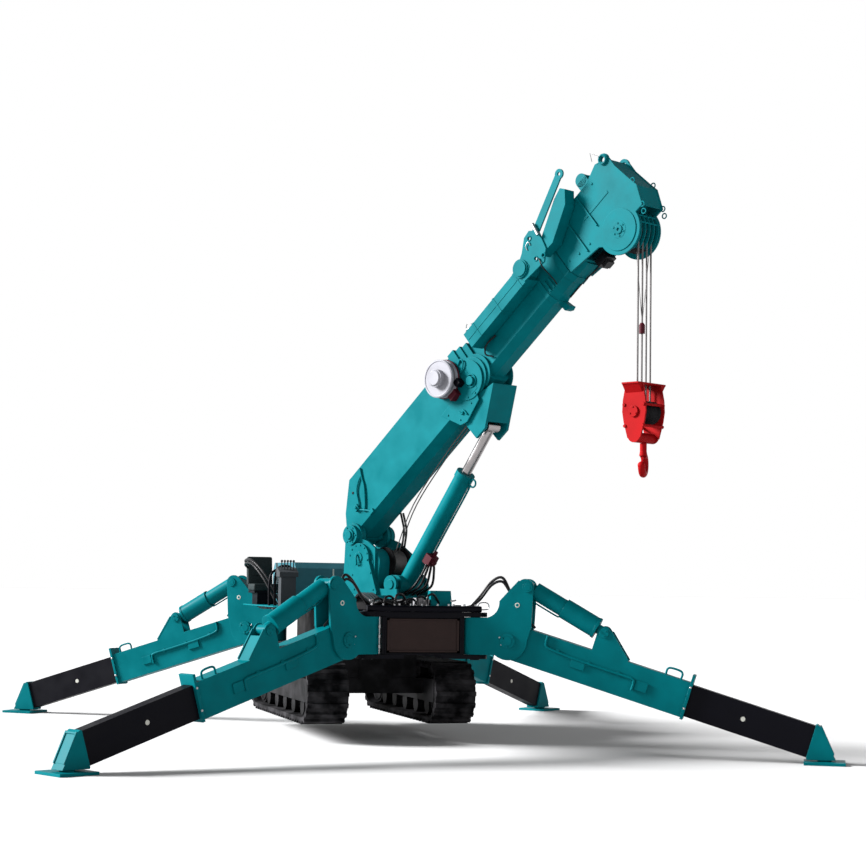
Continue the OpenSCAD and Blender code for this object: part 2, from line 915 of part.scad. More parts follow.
module boom_head() {
  hw = head_w / 2;
  color("teal")
    at_boom()
      difference() {
        union() {
          pair(hw + fit, hw + 18)
            head_profile();
          slab(-hw - 1, hw + 1)
            guard_profile();
          slab(-hw - 1, hw + 1)
            polygon([[tip_end + fit, 426], [tip_end + 25, 426], [tip_end + 25, 50], [tip_end + fit, 50]]);
          slab(-hw - 1, hw + 1)
            polygon([[tip_end + fit, 426], [tip_end + 90, 541], [tip_end + 476, 541], [tip_end + 476, 330],
              [tip_end + 462, 330], [tip_end + 462, 527], [tip_end + 98, 527], [tip_end + 18, 415]]);
          translate([sheave_at, 0, -sheave_drop])
            across(40, 2 * hw + 70);
          pair(hw + 1, hw + 34)
            translate([ear_at, ear_up])
              circle(r = 50);
          pair(hw + 17, hw + 26)
            translate([sheave_at, -sheave_drop])
              circle(r = 78);
          for (k = [-2:2])
            slab(k * fall_pitch - 4, k * fall_pitch + 4)
              intersection() {
                translate([sheave_at, -sheave_drop])
                  difference() {
                    circle(r = sheave_r + 45);
                    circle(r = sheave_r + 12);
                  }
                polygon([[ear_at + 34, -52], [sheave_at, -sheave_drop], [sheave_at - 110, -big / 4],
                  [sheave_at + big / 4, -big / 4], [sheave_at + big / 4, -40]]);
              }
          for (a = [-8, -26])
            translate([sheave_at + (sheave_r + 33) * cos(a), 0, -sheave_drop + (sheave_r + 33) * sin(a)])
              across(9, 2 * hw + 2);
        }
        translate([ear_at, 0, ear_up])
          across(25, big);
        translate([sheave_at, 0, -sheave_drop])
          across(14, big);
      }
}

module sheave(r, g, w, bore) {
  rotate([90, 0, 0])
    rotate_extrude()
      polygon([[bore, -w / 2], [r, -w / 2], [r, -w / 2 + 4], [g, -rope_r - 2], [g, rope_r + 2],
        [r, w / 2 - 4], [r, w / 2], [bore, w / 2]]);
}

module head_sheaves() {
  color("dimgray")
    at_boom()
      translate([sheave_at, 0, -sheave_drop])
        for (k = [-1.5:1:1.5])
          translate([0, k * fall_pitch, 0])
            sheave(sheave_r, groove_r, fall_pitch - fit, 40 + fit);
}

module jib() {
  w = head_w / 2;
  color("teal")
    at_boom() {
      difference() {
        union() {
          translate([2345, -w - 160, 275])
            cube([880, 148, 165]);
          translate([3235, -w - 98, 400])
            across(86, 176);
        }
        translate([2344, -w - 150, 285])
          cube([860, 128, 145]);
      }
      for (s = [2420, 3000])
        translate([s, -w - 13, 290])
          cube([90, 13 - fit + (head_w - tip_w) / 2, 120]);
      difference() {
        slab(-w - 172, -w - 156)
          polygon([[3190, 280], [3190, 430], [3330, 500], [3440, 590], [3520, 600], [3600, 520], [3560, 330],
            [3470, 250]]);
        for (p = [[3420, 340], [3500, 300], [3480, 540]])
          translate([p[0], 0, p[1]])
            across(14, big);
      }
      slab(-w - 158, -w - 30)
        polygon([[3470, 330], [3530, 430], [3900, 610], [4010, 640], [4045, 590], [3960, 480], [3640, 320]]);
      difference() {
        slab(-w - 172, -w - 156)
          union() {
            polygon([[3560, 490], [3540, 566], [4080, 772], [4102, 704]]);
            translate([4091, 738])
              circle(r = 46);
          }
        translate([4091, 0, 738])
          across(16, big);
      }
    }
}

module cable_reel() {
  color("silver")
    at_boom()
      translate([1865, -boom_w / 2, 330]) {
        translate([0, -20 - fit, 0])
          across(60, 40);
        translate([0, -58, 0])
          across(180, 40);
        translate([0, -118, 0])
          across(180, 24);
        translate([0, -88, 0])
          across(130, 60);
        translate([0, -150, 0])
          across(85, 60);
      }
}

// Luff cylinder

module luff_barrel() {
  color("teal")
    at_luff()
      difference() {
        union() {
          across(88, 2 * turret_in - 90);
          along(luff_r, 30, 1300);
          along(luff_r + 8, 1240, 1305);
        }
        across(45 + fit, big);
        along(luff_r - 14, 130, 1270);
        along(luff_rod_r + fit, 1269, 1310);
      }
}

module luff_rod() {
  color("silver")
    at_luff() {
      along(luff_rod_r, 720, luff_l - 20);
      along(luff_r - 16, 700, 760);
      translate([luff_l, 0, 0])
        across(50, 160);
    }
}

// Hook, each piece in the hanging frame

module ropes() {
  color("gray")
    at_hang()
      for (k = [-1.5:1:1.5])
        translate([hang_e, k * fall_pitch, block_top - hang_z - 40])
          cylinder(r = rope_r, h = hang_z - block_top + 40);
}

module hook_block() {
  side = 2 * fall_pitch + 3;
  color("red")
    at_hang()
      translate([hang_e, 0, block_top - hang_z])
        difference() {
          union() {
            pair(side, side + 14) {
              polygon([[-90, 0], [90, 0], [122, -150], [128, -250], [112, -340], [70, -block_h + 40],
                [-70, -block_h + 40], [-112, -340], [-128, -250], [-122, -150]]);
              translate([0, -block_h + 70])
                circle(r = 70);
            }
            translate([-90, -side - 74, -14])
              cube([180, 2 * side + 148, 14]);
            for (s = [-1, 1])
              translate([0, s * (side + 16), 0])
                slabx(-90, 90)
                  polygon([[s * -4, -10], [s * 55, -10], [s * -4, -90]]);
            slab(-side - 1, side + 1)
              translate([0, -block_h + 45])
                circle(r = 45);
            for (p = [[-105, -190], [105, -190], [-96, -375], [96, -375]])
              translate([p[0], 0, p[1]])
                across(12, 2 * side + 40);
            translate([0, 0, -250])
              across(28, 2 * side + 56);
          }
          for (k = [-1.5:1:1.5])
            translate([0, k * fall_pitch, -15])
              cylinder(r = rope_r + fit, h = 16);
        }
}

module block_sheaves() {
  color("dimgray")
    at_hang()
      translate([hang_e, 0, block_top - hang_z - 250])
        for (k = [-1.5:1:1.5])
          translate([0, k * fall_pitch, 0])
            sheave(100, 80, fall_pitch - 6, 28 + fit);
}

module hook() {
  color("red")
    at_hang()
      translate([hang_e, 0, block_top - hang_z - block_h])
        rotate([0, 0, hook_turn]) {
          translate([0, 0, -62 - fit])
            cylinder(r = 30, h = 62);
          translate([0, 0, -110])
            cylinder(r1 = 36, r2 = 28, h = 52);
          translate([0, 0, -185])
            rotate([90, 0, 0])
              rotate([0, 0, -172])
                rotate_extrude(angle = 262)
                  translate([82, 0])
                    circle(r = 32);
          translate([82 * cos(188), 0, -185 + 82 * sin(188)])
            sphere(r = 34);
          translate([-72, -9, -176])
            rotate([0, 38, 0])
              cube([12, 18, 104]);
        }
}

// Draw the nodes

chassis();
deck();
slew_ring();
place_track(-1) track();  // track_left
place_track(1) track();  // track_right
undercarriage();
hood();
engine();
seat();
console();
valve_gear();
turret();
winch_drum();
boom_base();
inner(1, 330, base_end + collar_l + fit);  // boom_2
inner(2, 370, base_end + 2 * collar_l + 2 * fit);  // boom_3
boom_tip();
boom_head();
head_sheaves();
jib();
cable_reel();
luff_barrel();
luff_rod();
ropes();
hook_block();
block_sheaves();
hook();
at_leg(legs[0]) bracket();  // bracket_fl
at_leg(legs[1]) bracket();  // bracket_fr
at_leg(legs[2]) bracket();  // bracket_rl
at_leg(legs[3]) bracket();  // bracket_rr
at_leg(legs[0]) arm();  // arm_fl
at_leg(legs[1]) arm();  // arm_fr
at_leg(legs[2]) arm();  // arm_rl
at_leg(legs[3]) arm();  // arm_rr
at_leg(legs[0]) ext();  // ext_fl
at_leg(legs[1]) ext();  // ext_fr
at_leg(legs[2]) ext();  // ext_rl
at_leg(legs[3]) ext();  // ext_rr
at_leg(legs[0]) foot();  // foot_fl
at_leg(legs[1]) foot();  // foot_fr
at_leg(legs[2]) foot();  // foot_rl
at_leg(legs[3]) foot();  // foot_rr
at_leg(legs[0]) leg_barrel();  // barrel_fl
at_leg(legs[1]) leg_barrel();  // barrel_fr
at_leg(legs[2]) leg_barrel();  // barrel_rl
at_leg(legs[3]) leg_barrel();  // barrel_rr
at_leg(legs[0]) leg_rod();  // rod_fl
at_leg(legs[1]) leg_rod();  // rod_fr
at_leg(legs[2]) leg_rod();  // rod_rl
at_leg(legs[3]) leg_rod();  // rod_rr
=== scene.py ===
import json
import math
import bmesh
import bpy
from mathutils import Matrix, Vector


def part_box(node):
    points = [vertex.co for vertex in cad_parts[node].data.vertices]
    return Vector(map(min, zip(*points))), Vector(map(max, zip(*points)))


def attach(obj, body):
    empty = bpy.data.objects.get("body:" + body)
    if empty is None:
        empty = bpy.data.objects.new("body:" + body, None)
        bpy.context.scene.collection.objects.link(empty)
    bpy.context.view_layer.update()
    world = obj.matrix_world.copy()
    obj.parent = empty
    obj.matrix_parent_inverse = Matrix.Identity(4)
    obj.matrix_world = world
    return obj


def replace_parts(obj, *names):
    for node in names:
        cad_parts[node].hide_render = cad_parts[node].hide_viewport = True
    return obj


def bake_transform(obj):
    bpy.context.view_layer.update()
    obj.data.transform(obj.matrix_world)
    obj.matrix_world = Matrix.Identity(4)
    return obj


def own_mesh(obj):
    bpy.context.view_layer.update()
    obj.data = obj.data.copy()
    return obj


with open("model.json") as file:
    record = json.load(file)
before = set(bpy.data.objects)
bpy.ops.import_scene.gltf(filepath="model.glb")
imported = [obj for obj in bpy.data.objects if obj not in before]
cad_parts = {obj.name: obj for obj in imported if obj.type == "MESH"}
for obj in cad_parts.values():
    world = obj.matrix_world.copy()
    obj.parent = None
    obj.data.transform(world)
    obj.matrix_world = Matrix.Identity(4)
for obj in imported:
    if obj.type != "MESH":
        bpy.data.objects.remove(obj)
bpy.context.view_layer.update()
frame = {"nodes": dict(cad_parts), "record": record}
NODES = frame["nodes"]

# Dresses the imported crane: materials for its nodes, and the small parts that ride on its bodies.

# Driving sizes in metres and degrees, the same as in the part's source

LEGS = {"fl": (-1, -1), "fr": (1, -1), "rl": (-1, 1), "rr": (1, 1)}  # sides in x and y
LENGTH, PAD_HALF = 7.43, 0.18
SWING_FRONT, SWING_REAR = 27.6, 37.3
PIN_FRONT, PIN_REAR = 0.507, 0.601  # swing pins, from the middle along x
ARM_SLOPE, ARM_LEN, ARM_H, ARM_W, EXT_OUT = 17.0, 1.696, 0.32, 0.16, 1.12
PIVOT_R, ARM_END_Z, FOOT_AHEAD = 0.32, 0.197, 0.118
CHEEK = 0.111
CYL_R, CYL_RISE = 0.497, 0.487
LUG_S, LUG_N = 0.806, 0.338
FRAME_Z, FRAME_TOP, DECK, DECK_T = 0.885, 1.23, 1.27, 0.012
GAUGE, TRACK_L, TRACK_H, TRACK_Z, TRACK_Y = 1.26, 2.85, 0.60, 0.17, 0.345
SLEW_Y, BOOM_AZ, BOOM_EL = -0.67, 30.0, 40.2
FOOT_BACK, FOOT_Z = 0.224, 1.987
BOOM_W, TIP_END, HEAD_W = 0.38, 3.70, 0.272
TURRET_OUT = 0.222
DRUM_E, DRUM_Z, DRUM_R = 0.04, 1.725, 0.105
SHEAVE_S, SHEAVE_DROP = TIP_END + 0.47, 0.045
EAR_S, EAR_UP = TIP_END + 0.749, 0.567
FALL_E, FALL_PITCH = 0.1643, 0.06
BLOCK_TOP = 3.29
BLOCK_AXLE = BLOCK_TOP - 0.25
BLOCK_GAP, BLOCK_T = 0.003, 0.014
LUFF_E, LUFF_Z, LUFF_R = 0.30, 1.515, 0.085
LUFF_LUG_S, LUFF_LUG_DROP = 1.87, 0.262

# Frames of the machine: x runs out along a leg or forward along the boom


def rot(axis, deg):
    return Matrix.Rotation(math.radians(deg), 4, axis)


def mov(x, y, z):
    return Matrix.Translation((x, y, z))


def sin(deg):
    return math.sin(math.radians(deg))


def cos(deg):
    return math.cos(math.radians(deg))


PIVOT_Z = ARM_END_Z + (ARM_LEN + EXT_OUT) * sin(ARM_SLOPE)
REACH = PIVOT_R + (ARM_LEN + EXT_OUT) * cos(ARM_SLOPE) + FOOT_AHEAD
CYL_Z = PIVOT_Z + CYL_RISE
LUG_R = PIVOT_R + LUG_S * cos(ARM_SLOPE) + LUG_N * sin(ARM_SLOPE)
LUG_Z = PIVOT_Z - LUG_S * sin(ARM_SLOPE) + LUG_N * cos(ARM_SLOPE)


def swing(k):
    return SWING_FRONT if LEGS[k][1] < 0 else SWING_REAR


def pin(k):
    """Swing pin of a leg, x and y."""
    sx, sy = LEGS[k]
    a = swing(k)
    pad = PAD_HALF * (cos(a) + sin(a))
    return sx * (PIN_FRONT if sy < 0 else PIN_REAR), sy * (LENGTH / 2 - REACH * sin(a) - pad)


def leg(k):
    sx, sy = LEGS[k]
    turn = sy * swing(k) if sx > 0 else 180 - sy * swing(k)
    return mov(*pin(k), 0) @ rot("Z", turn)


def arm(k):
    return leg(k) @ mov(PIVOT_R, 0, PIVOT_Z) @ rot("Y", ARM_SLOPE)


def cylinder(k):
    slope = math.degrees(math.atan2(CYL_Z - LUG_Z, LUG_R - CYL_R))
    return leg(k) @ mov(CYL_R, 0, CYL_Z) @ rot("Y", slope)


def fore(k):
    """Sign of y on the side of a leg that faces the front."""
    return -LEGS[k][0]


WORLD = Matrix.Identity(4)
FRONT_Y = pin("fl")[1]  # the front swing pins
ON_DECK = mov(0, 0, DECK)
EDGE = mov(0, FRONT_Y, DECK)  # front edge of the deck
TUBE = EDGE @ mov(0, -0.08, 0.03)  # valve tube before that edge
TURRET = mov(0, SLEW_Y, 0) @ rot("Z", BOOM_AZ - 90)
BOOM = TURRET @ mov(-FOOT_BACK, 0, FOOT_Z) @ rot("Y", -BOOM_EL)
LUFF_PE = -FOOT_BACK + LUFF_LUG_S * cos(BOOM_EL) + LUFF_LUG_DROP * sin(BOOM_EL)
LUFF_PZ = FOOT_Z + LUFF_LUG_S * sin(BOOM_EL) - LUFF_LUG_DROP * cos(BOOM_EL)
LUFF_EL = math.degrees(math.atan2(LUFF_PZ - LUFF_Z, LUFF_PE - LUFF_E))
LUFF = TURRET @ mov(LUFF_E, 0, LUFF_Z) @ rot("Y", -LUFF_EL)
LUFF_UNDER = LUFF @ mov(0, 0, -LUFF_R)  # underside of the luff cylinder
HANG_X = -FOOT_BACK + SHEAVE_S * cos(BOOM_EL) + SHEAVE_DROP * sin(BOOM_EL)
HANG_Z = FOOT_Z + SHEAVE_S * sin(BOOM_EL) - SHEAVE_DROP * cos(BOOM_EL)
HANG = TURRET @ mov(HANG_X + FALL_E, 0, 0)  # plumb line of the falls, from the ground up

# Materials

NOISE_RANGE = 0.3, 0.7  # where most of the noise lies
BEND_RANGE = 0.985, 0.80  # cosine of an edge's bend, from no painted highlight to full painted highlight
# Painted highlight on the edges: its strength and the noise range of its patches
EDGE_HIGHLIGHT, EDGE_HIGHLIGHT_PATCH = 0.5, (0.45, 0.62)
DUST_PATCH = 0.40, 0.66
TONE = 0.12  # how far the colour strays to either side
EDGE_R = 0.006  # rounding of edges in the shading


def mix(nodes, links, factor, a, b):
    """Colour mix of a socket or colour a with a colour b."""
    n = nodes.new("ShaderNodeMix")
    n.data_type = "RGBA"
    links.new(factor, n.inputs["Factor"])
    if isinstance(a, tuple):
        n.inputs["A"].default_value = (*a, 1)
    else:
        links.new(a, n.inputs["A"])
    n.inputs["B"].default_value = (*b, 1)
    return n.outputs["Result"]


def ramp(nodes, links, value, x0, x1, y0=0.0, y1=1.0):
    """Value mapped from x0..x1 to y0..y1."""
    n = nodes.new("ShaderNodeMapRange")
    links.new(value, n.inputs["Value"])
    for key, v in zip(("From Min", "From Max", "To Min", "To Max"), (x0, x1, y0, y1)):
        n.inputs[key].default_value = v
    return n.outputs["Result"]


def times(nodes, links, a, b):
    """Product of a socket a and a socket or number b."""
    n = nodes.new("ShaderNodeMath")
    n.operation = "MULTIPLY"
    links.new(a, n.inputs[0])
    if isinstance(b, float):
        n.inputs[1].default_value = b
    else:
        links.new(b, n.inputs[1])
    return n.outputs["Value"]


def material(name, base, rough=0.4, metal=0.0, spec=0.3, edge_highlight=None, dust=None, dust_share=0.0,
             grain=0.02, scale=5.0):
    """Paint, metal or rubber with uneven tone and gloss, a painted highlight on the edges, and dust."""
    m = bpy.data.materials.new(name)
    m.use_nodes = True
    nodes, links = m.node_tree.nodes, m.node_tree.links
    shader = nodes["Principled BSDF"]
    shader.inputs["Metallic"].default_value = metal
    shader.inputs["Specular IOR Level"].default_value = spec
    place = nodes.new("ShaderNodeTexCoord").outputs["Object"]

    def noise(size, detail):
        n = nodes.new("ShaderNodeTexNoise")
        n.inputs["Scale"].default_value = size
        n.inputs["Detail"].default_value = detail
        links.new(place, n.inputs["Vector"])
        return n.outputs["Fac"]

    broad, fine = noise(scale, 5), noise(scale * 24, 4)
    round_edge = nodes.new("ShaderNodeBevel")
    round_edge.samples = 4
    round_edge.inputs["Radius"].default_value = EDGE_R
    dark = tuple(c * (1 - TONE) for c in base)
    light = tuple(min(c * (1 + TONE), 1.0) for c in base)
    colour = mix(nodes, links, ramp(nodes, links, broad, *NOISE_RANGE), dark, light)
    # Painted highlight: a lighter colour laid on the rounded edges, in noise patches
    if edge_highlight:
        face = nodes.new("ShaderNodeNewGeometry").outputs["True Normal"]
        dot = nodes.new("ShaderNodeVectorMath")
        dot.operation = "DOT_PRODUCT"
        links.new(round_edge.outputs["Normal"], dot.inputs[0])
        links.new(face, dot.inputs[1])
        bent = ramp(nodes, links, dot.outputs["Value"], *BEND_RANGE)
        patch = ramp(nodes, links, fine, *EDGE_HIGHLIGHT_PATCH)
        highlit = times(nodes, links, times(nodes, links, bent, patch), EDGE_HIGHLIGHT)
        colour = mix(nodes, links, highlit, colour, edge_highlight)
    if dust:
        patch = ramp(nodes, links, broad, *DUST_PATCH, 0.0, dust_share)
        colour = mix(nodes, links, patch, colour, dust)
    links.new(colour, shader.inputs["Base Color"])
    gloss = ramp(nodes, links, broad, *NOISE_RANGE, max(rough - 0.08, 0.03), min(rough + 0.10, 1.0))
    links.new(gloss, shader.inputs["Roughness"])
    bump = nodes.new("ShaderNodeBump")
    bump.inputs["Strength"].default_value = grain
    bump.inputs["Distance"].default_value = 0.002
    links.new(fine, bump.inputs["Height"])
    links.new(round_edge.outputs["Normal"], bump.inputs["Normal"])
    links.new(bump.outputs["Normal"], shader.inputs["Normal"])
    return m


# The edge colour given with each paint is a painted highlight, lighter than the paint itself
TEAL = material("teal", (0.0, 0.100, 0.116), 0.40, spec=0.025, edge_highlight=(0.02, 0.22, 0.25))
BLACK = material("black", (0.002, 0.002, 0.004), 0.45, spec=0.06, edge_highlight=(0.03, 0.03, 0.032))
PANEL = material("panel", (0.024, 0.015, 0.014), 0.5, spec=0.06, edge_highlight=(0.05, 0.04, 0.04))
SLATE = material("slate", (0.028, 0.108, 0.134), 0.42, spec=0.10, edge_highlight=(0.10, 0.17, 0.20))
RUBBER = material("rubber", (0.002, 0.002, 0.0025), 0.8, spec=0.05, dust=(0.050, 0.048, 0.052),
                  dust_share=0.55, grain=0.25, scale=7)
IRON = material("iron", (0.003, 0.003, 0.0035), 0.6, spec=0.06, dust=(0.030, 0.029, 0.032),
                dust_share=0.5, grain=0.1)
STEEL = material("steel", (0.34, 0.34, 0.35), 0.35, metal=1.0)
CHROME = material("chrome", (0.34, 0.32, 0.32), 0.22, metal=1.0, grain=0.0)
WIRE = material("wire", (0.10, 0.095, 0.095), 0.5, metal=0.6, grain=0.3, scale=12)
RED = material("red", (0.21, 0.003, 0.004), 0.45, spec=0.025, edge_highlight=(0.30, 0.02, 0.02))
GREY = material("grey", (0.21, 0.21, 0.235), 0.45, spec=0.15)
SEAT = material("seat", (0.010, 0.016, 0.017), 0.6, spec=0.1, grain=0.15, scale=14)
HOSE = material("hose", (0.002, 0.002, 0.003), 0.36, spec=0.20, grain=0.06)
WHITE = material("white", (0.42, 0.42, 0.38), 0.4, spec=0.1)
MAROON = material("maroon", (0.045, 0.004, 0.009), 0.42, spec=0.1)
PALE = material("pale", (0.20, 0.20, 0.21), 0.5, spec=0.1)
DARK = material("dark_grey", (0.025, 0.029, 0.033), 0.5, spec=0.1)

FINISH = {"teal_paint": TEAL, "black_paint": BLACK, "rubber": RUBBER, "dark_steel": IRON,
          "slate_paint": SLATE, "seat_cover": SEAT, "grey_plastic": GREY, "chrome": CHROME,
          "wire": WIRE, "red_paint": RED}
for part in frame["record"]["subparts"]:
    mesh = NODES[part["node"]].data
    mesh.materials.clear()
    mesh.materials.append(DARK if part["node"] == "console" else FINISH[part["material_slot"]])

# Helpers for the small parts

SHARP = 38  # edges that bend more than this stay sharp
BOLT = 0.009, 0.006  # radius and height of a usual bolt head
ACROSS = (0, 1, 0)


def through(pts, step):
    """Points on a smooth curve through pts."""
    p = [Vector(q) for q in pts]
    p = [2 * p[0] - p[1]] + p + [2 * p[-1] - p[-2]]
    out = []
    for a, b, c, d in zip(p, p[1:], p[2:], p[3:]):
        for i in range(step):
            t = i / step
            out.append(0.5 * (2 * b + (c - a) * t + (2 * a - 5 * b + 4 * c - d) * t ** 2
                              + (3 * b - a - 3 * c + d) * t ** 3))
    return out + [p[-2]]


def ring(e, y, z, r, angles):
    """Points on a circle round (e, y, z), in the plane across y."""
    return [(e + r * cos(a), y, z + r * sin(a)) for a in angles]


def at(m, pts):
    """Points of a frame in the world."""
    return [tuple(m @ Vector(p)) for p in pts]


class Piece:
    """Small parts of one finish that ride on one body, gathered in one mesh."""

    def __init__(self, name, body, finish, slot):
        self.name, self.body, self.finish, self.slot = name, body, finish, slot
        self.bm = bmesh.new()

    def box(self, m, a, b):
        """Box between two opposite corners in the frame m."""
        size = [abs(q - p) for p, q in zip(a, b)]
        mid = [(p + q) / 2 for p, q in zip(a, b)]
        bmesh.ops.create_cube(self.bm, size=1, matrix=m @ mov(*mid) @ Matrix.Diagonal((*size, 1)))
        return self

    def rod(self, m, a, b, r, end_r=None, sides=20):
        """Round bar from a to b, or a cone where end_r differs."""
        a, b = Vector(a), Vector(b)
        turn = (b - a).to_track_quat("Z", "Y").to_matrix().to_4x4()
        bmesh.ops.create_cone(self.bm, cap_ends=True, segments=sides, radius1=r,
                              radius2=r if end_r is None else end_r, depth=(b - a).length,
                              matrix=m @ Matrix.Translation((a + b) / 2) @ turn)
        return self

    def disc(self, m, place, along, h, r, sides=28):
        """Flat cap that stands up by h along a direction."""
        return self.rod(m, place, Vector(place) + Vector(along) * h, r, sides=sides)

    def bolts(self, m, places, along, r=0.012, h=0.008):
        """Hexagon heads at the places, standing up along a direction."""
        for place in places:
            self.disc(m, place, along, h, r, sides=6)
        return self

    def prism(self, m, outline, x0, x1):
        """Outline of y and z pairs, thick along x."""
        ends = [[self.bm.verts.new(m @ Vector((x, y, z))) for y, z in outline] for x in (x0, x1)]
        count = len(outline)
        for j in range(count):
            k = (j + 1) % count
            self.bm.faces.new((ends[0][j], ends[0][k], ends[1][k], ends[1][j]))
        self.bm.faces.new(ends[0][::-1])
        self.bm.faces.new(ends[1])
        return self

    def tube(self, m, pts, r, step=6, sides=10, closed=False):
        """Bent bar, pipe or hose through the points."""
        path = [m @ Vector(p) for p in (through(pts, step) if step > 1 else pts)]
        count = len(path)
        side, rings = None, []
        for i, p in enumerate(path):
            before = path[i - 1] if i or closed else p
            after = path[(i + 1) % count] if i < count - 1 or closed else p
            d = (after - before).normalized()
            side = d.orthogonal() if side is None else side - d * side.dot(d)
            side.normalize()
            up = d.cross(side)
            spokes = [side * cos(360 * j / sides) + up * sin(360 * j / sides) for j in range(sides)]
            rings.append([self.bm.verts.new(p + r * spoke) for spoke in spokes])
        pairs = list(zip(rings, rings[1:])) + ([(rings[-1], rings[0])] if closed else [])
        for a, b in pairs:
            for j in range(sides):
                k = (j + 1) % sides
                self.bm.faces.new((a[j], a[k], b[k], b[j]))
        if not closed:
            self.bm.faces.new(rings[0][::-1])
            self.bm.faces.new(rings[-1])
        return self

    def hoop(self, m, place, axis, big, small, count=28):
        """Closed ring round a point."""
        axis = Vector(axis).normalized()
        u = axis.orthogonal().normalized()
        v = axis.cross(u)
        angles = [360 * i / count for i in range(count)]
        pts = [Vector(place) + big * (u * cos(a) + v * sin(a)) for a in angles]
        return self.tube(m, pts, small, step=1, sides=8, closed=True)

    def mesh(self):
        """Finish the mesh as an object of its own."""
        data = bpy.data.meshes.new(self.name)
        bmesh.ops.recalc_face_normals(self.bm, faces=self.bm.faces)
        self.bm.to_mesh(data)
        self.bm.free()
        data.shade_smooth()
        data.set_sharp_from_angle(angle=math.radians(SHARP))
        data.materials.append(self.finish)
        o = bpy.data.objects.new(self.name, data)
        bpy.context.collection.objects.link(o)
        return o

    def ride(self):
        """Finish the mesh and let it move with its body."""
        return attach(self.mesh(), self.body)


def hose(name, a, pts, r=0.014, finish=HOSE, slot="rubber"):
    """Hose between two jointed bodies, drawn through the points and fixed in the world."""
    o = Piece(name, a, finish, slot).tube(WORLD, pts, r, sides=8).mesh()
    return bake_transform(o)


# Carrier: front panel with its rim

PANEL_X, PANEL_Y, PANEL_T = 0.338, FRONT_Y - 0.048, 0.02
PANEL_LOW, PANEL_TOP = FRAME_Z + 0.022, FRAME_TOP - 0.022
RIM_T, RIM_W, RIM_H = 0.01, 0.02, 0.014
panel = Piece("front_panel", "carrier", PANEL, "black_paint")
panel.box(WORLD, (-PANEL_X, PANEL_Y, PANEL_LOW), (PANEL_X, PANEL_Y + PANEL_T, PANEL_TOP))
for x in (-PANEL_X, PANEL_X - RIM_W):
    panel.box(WORLD, (x, PANEL_Y - RIM_T, PANEL_LOW), (x + RIM_W, PANEL_Y, PANEL_TOP))
for z in (PANEL_LOW, PANEL_TOP - RIM_H):
    panel.box(WORLD, (-PANEL_X, PANEL_Y - RIM_T, z), (PANEL_X, PANEL_Y, z + RIM_H))
panel.ride()

# Valve gear at the front edge of the deck, hoses along the deck

NUTS, NUT_FIRST, NUT_STEP = 12, -0.49, 0.085
BAR = mov(-0.425, FRONT_Y - 0.105, FRAME_Z)
BAR_H = FRAME_TOP - FRAME_Z
gear = Piece("valve_fittings", "carrier", STEEL, "chrome")
for i in range(NUTS):
    x = NUT_FIRST + NUT_STEP * i + 0.02 * (i % 3)
    gear.rod(TUBE, (x, 0.006, 0.022), (x, 0.006, 0.045), 0.010, sides=6)
    if i % 3 == 0:
        gear.rod(TUBE, (x - 0.02, 0.02, 0.07), (x + 0.03, 0.03, 0.078), 0.008)
gear.tube(TUBE, [(0.50, 0, 0.02), (0.53, 0, 0.058), (0.60, 0, 0.056), (0.607, 0, 0.005),
                 (0.54, 0, -0.004)], 0.006, step=3)
gear.rod(BAR, (0, 0, 0.01), (0, 0, BAR_H - 0.006), 0.006)
for z in (0.06, 0.15, 0.24):
    gear.rod(BAR, (0, 0, z), (0, 0, z + 0.03), 0.011)
gear.rod(EDGE, (0.30, 0.01, 0.045), (0.37, 0, 0.045), 0.022)
gear.ride()

RIBS, RIB_FIRST, RIB_STEP, RIB_W = 6, -0.058, 0.0207, 0.011
ribbed = Piece("valve_block", "carrier", PALE, "grey_plastic")
ribbed.box(EDGE, (-0.062, -0.012, 0.03), (0.062, 0.09, 0.125))
for i in range(RIBS):
    x = RIB_FIRST + RIB_STEP * i
    ribbed.box(EDGE, (x, -0.022, 0.036), (x + RIB_W, -0.011, 0.12))
ribbed.ride()

LID_X0, LID_X1 = 0.087, 0.283
lid = Piece("valve_cover", "carrier", TEAL, "teal_paint")
lid.prism(EDGE, [(0.007, 0.037), (0.007, 0.091), (0.042, 0.193), (0.108, 0.193), (0.133, 0.10),
                 (0.133, 0.037)], LID_X0, LID_X1)
lid.ride()

runs = Piece("deck_hoses", "carrier", HOSE, "rubber")
for i in range(4):
    d = 0.033 * i
    runs.tube(ON_DECK, [(-0.32 + d, -0.72, -0.012), (-0.325 + d, -0.80, 0.09), (-0.33 + d, -1.05, 0.15),
                        (-0.335 + d, -1.40, 0.10), (-0.37 + d, -1.75, 0.05), (-0.44 + d, FRONT_Y + 0.06, 0.06),
                        (-0.36 + d, FRONT_Y - 0.02 + d / 2, 0.09), (-0.23 + d, FRONT_Y - 0.045 + d, 0.03)], 0.016)
for i in range(6):
    x = -0.48 + 0.10 * i
    lift = 0.02 * (i % 3)
    runs.tube(TUBE, [(x, 0.004, 0.035), (x + 0.02, 0.02, 0.075 + lift), (x + 0.08, 0.05, 0.085 + lift),
                     (x + 0.15, 0.10, 0.04)], 0.011)
for i in range(3):
    d = 0.035 * i
    runs.tube(EDGE, [(0.02, 0.10 + d, 0.05), (0.20, 0.14 + d, 0.03), (0.34, 0.06 + d, 0.03),
                     (0.44, -0.01 + d, 0.045), (0.50, -0.02 + d, 0.06)], 0.014)
runs.ride()

# Hood: seams, louvres, latches

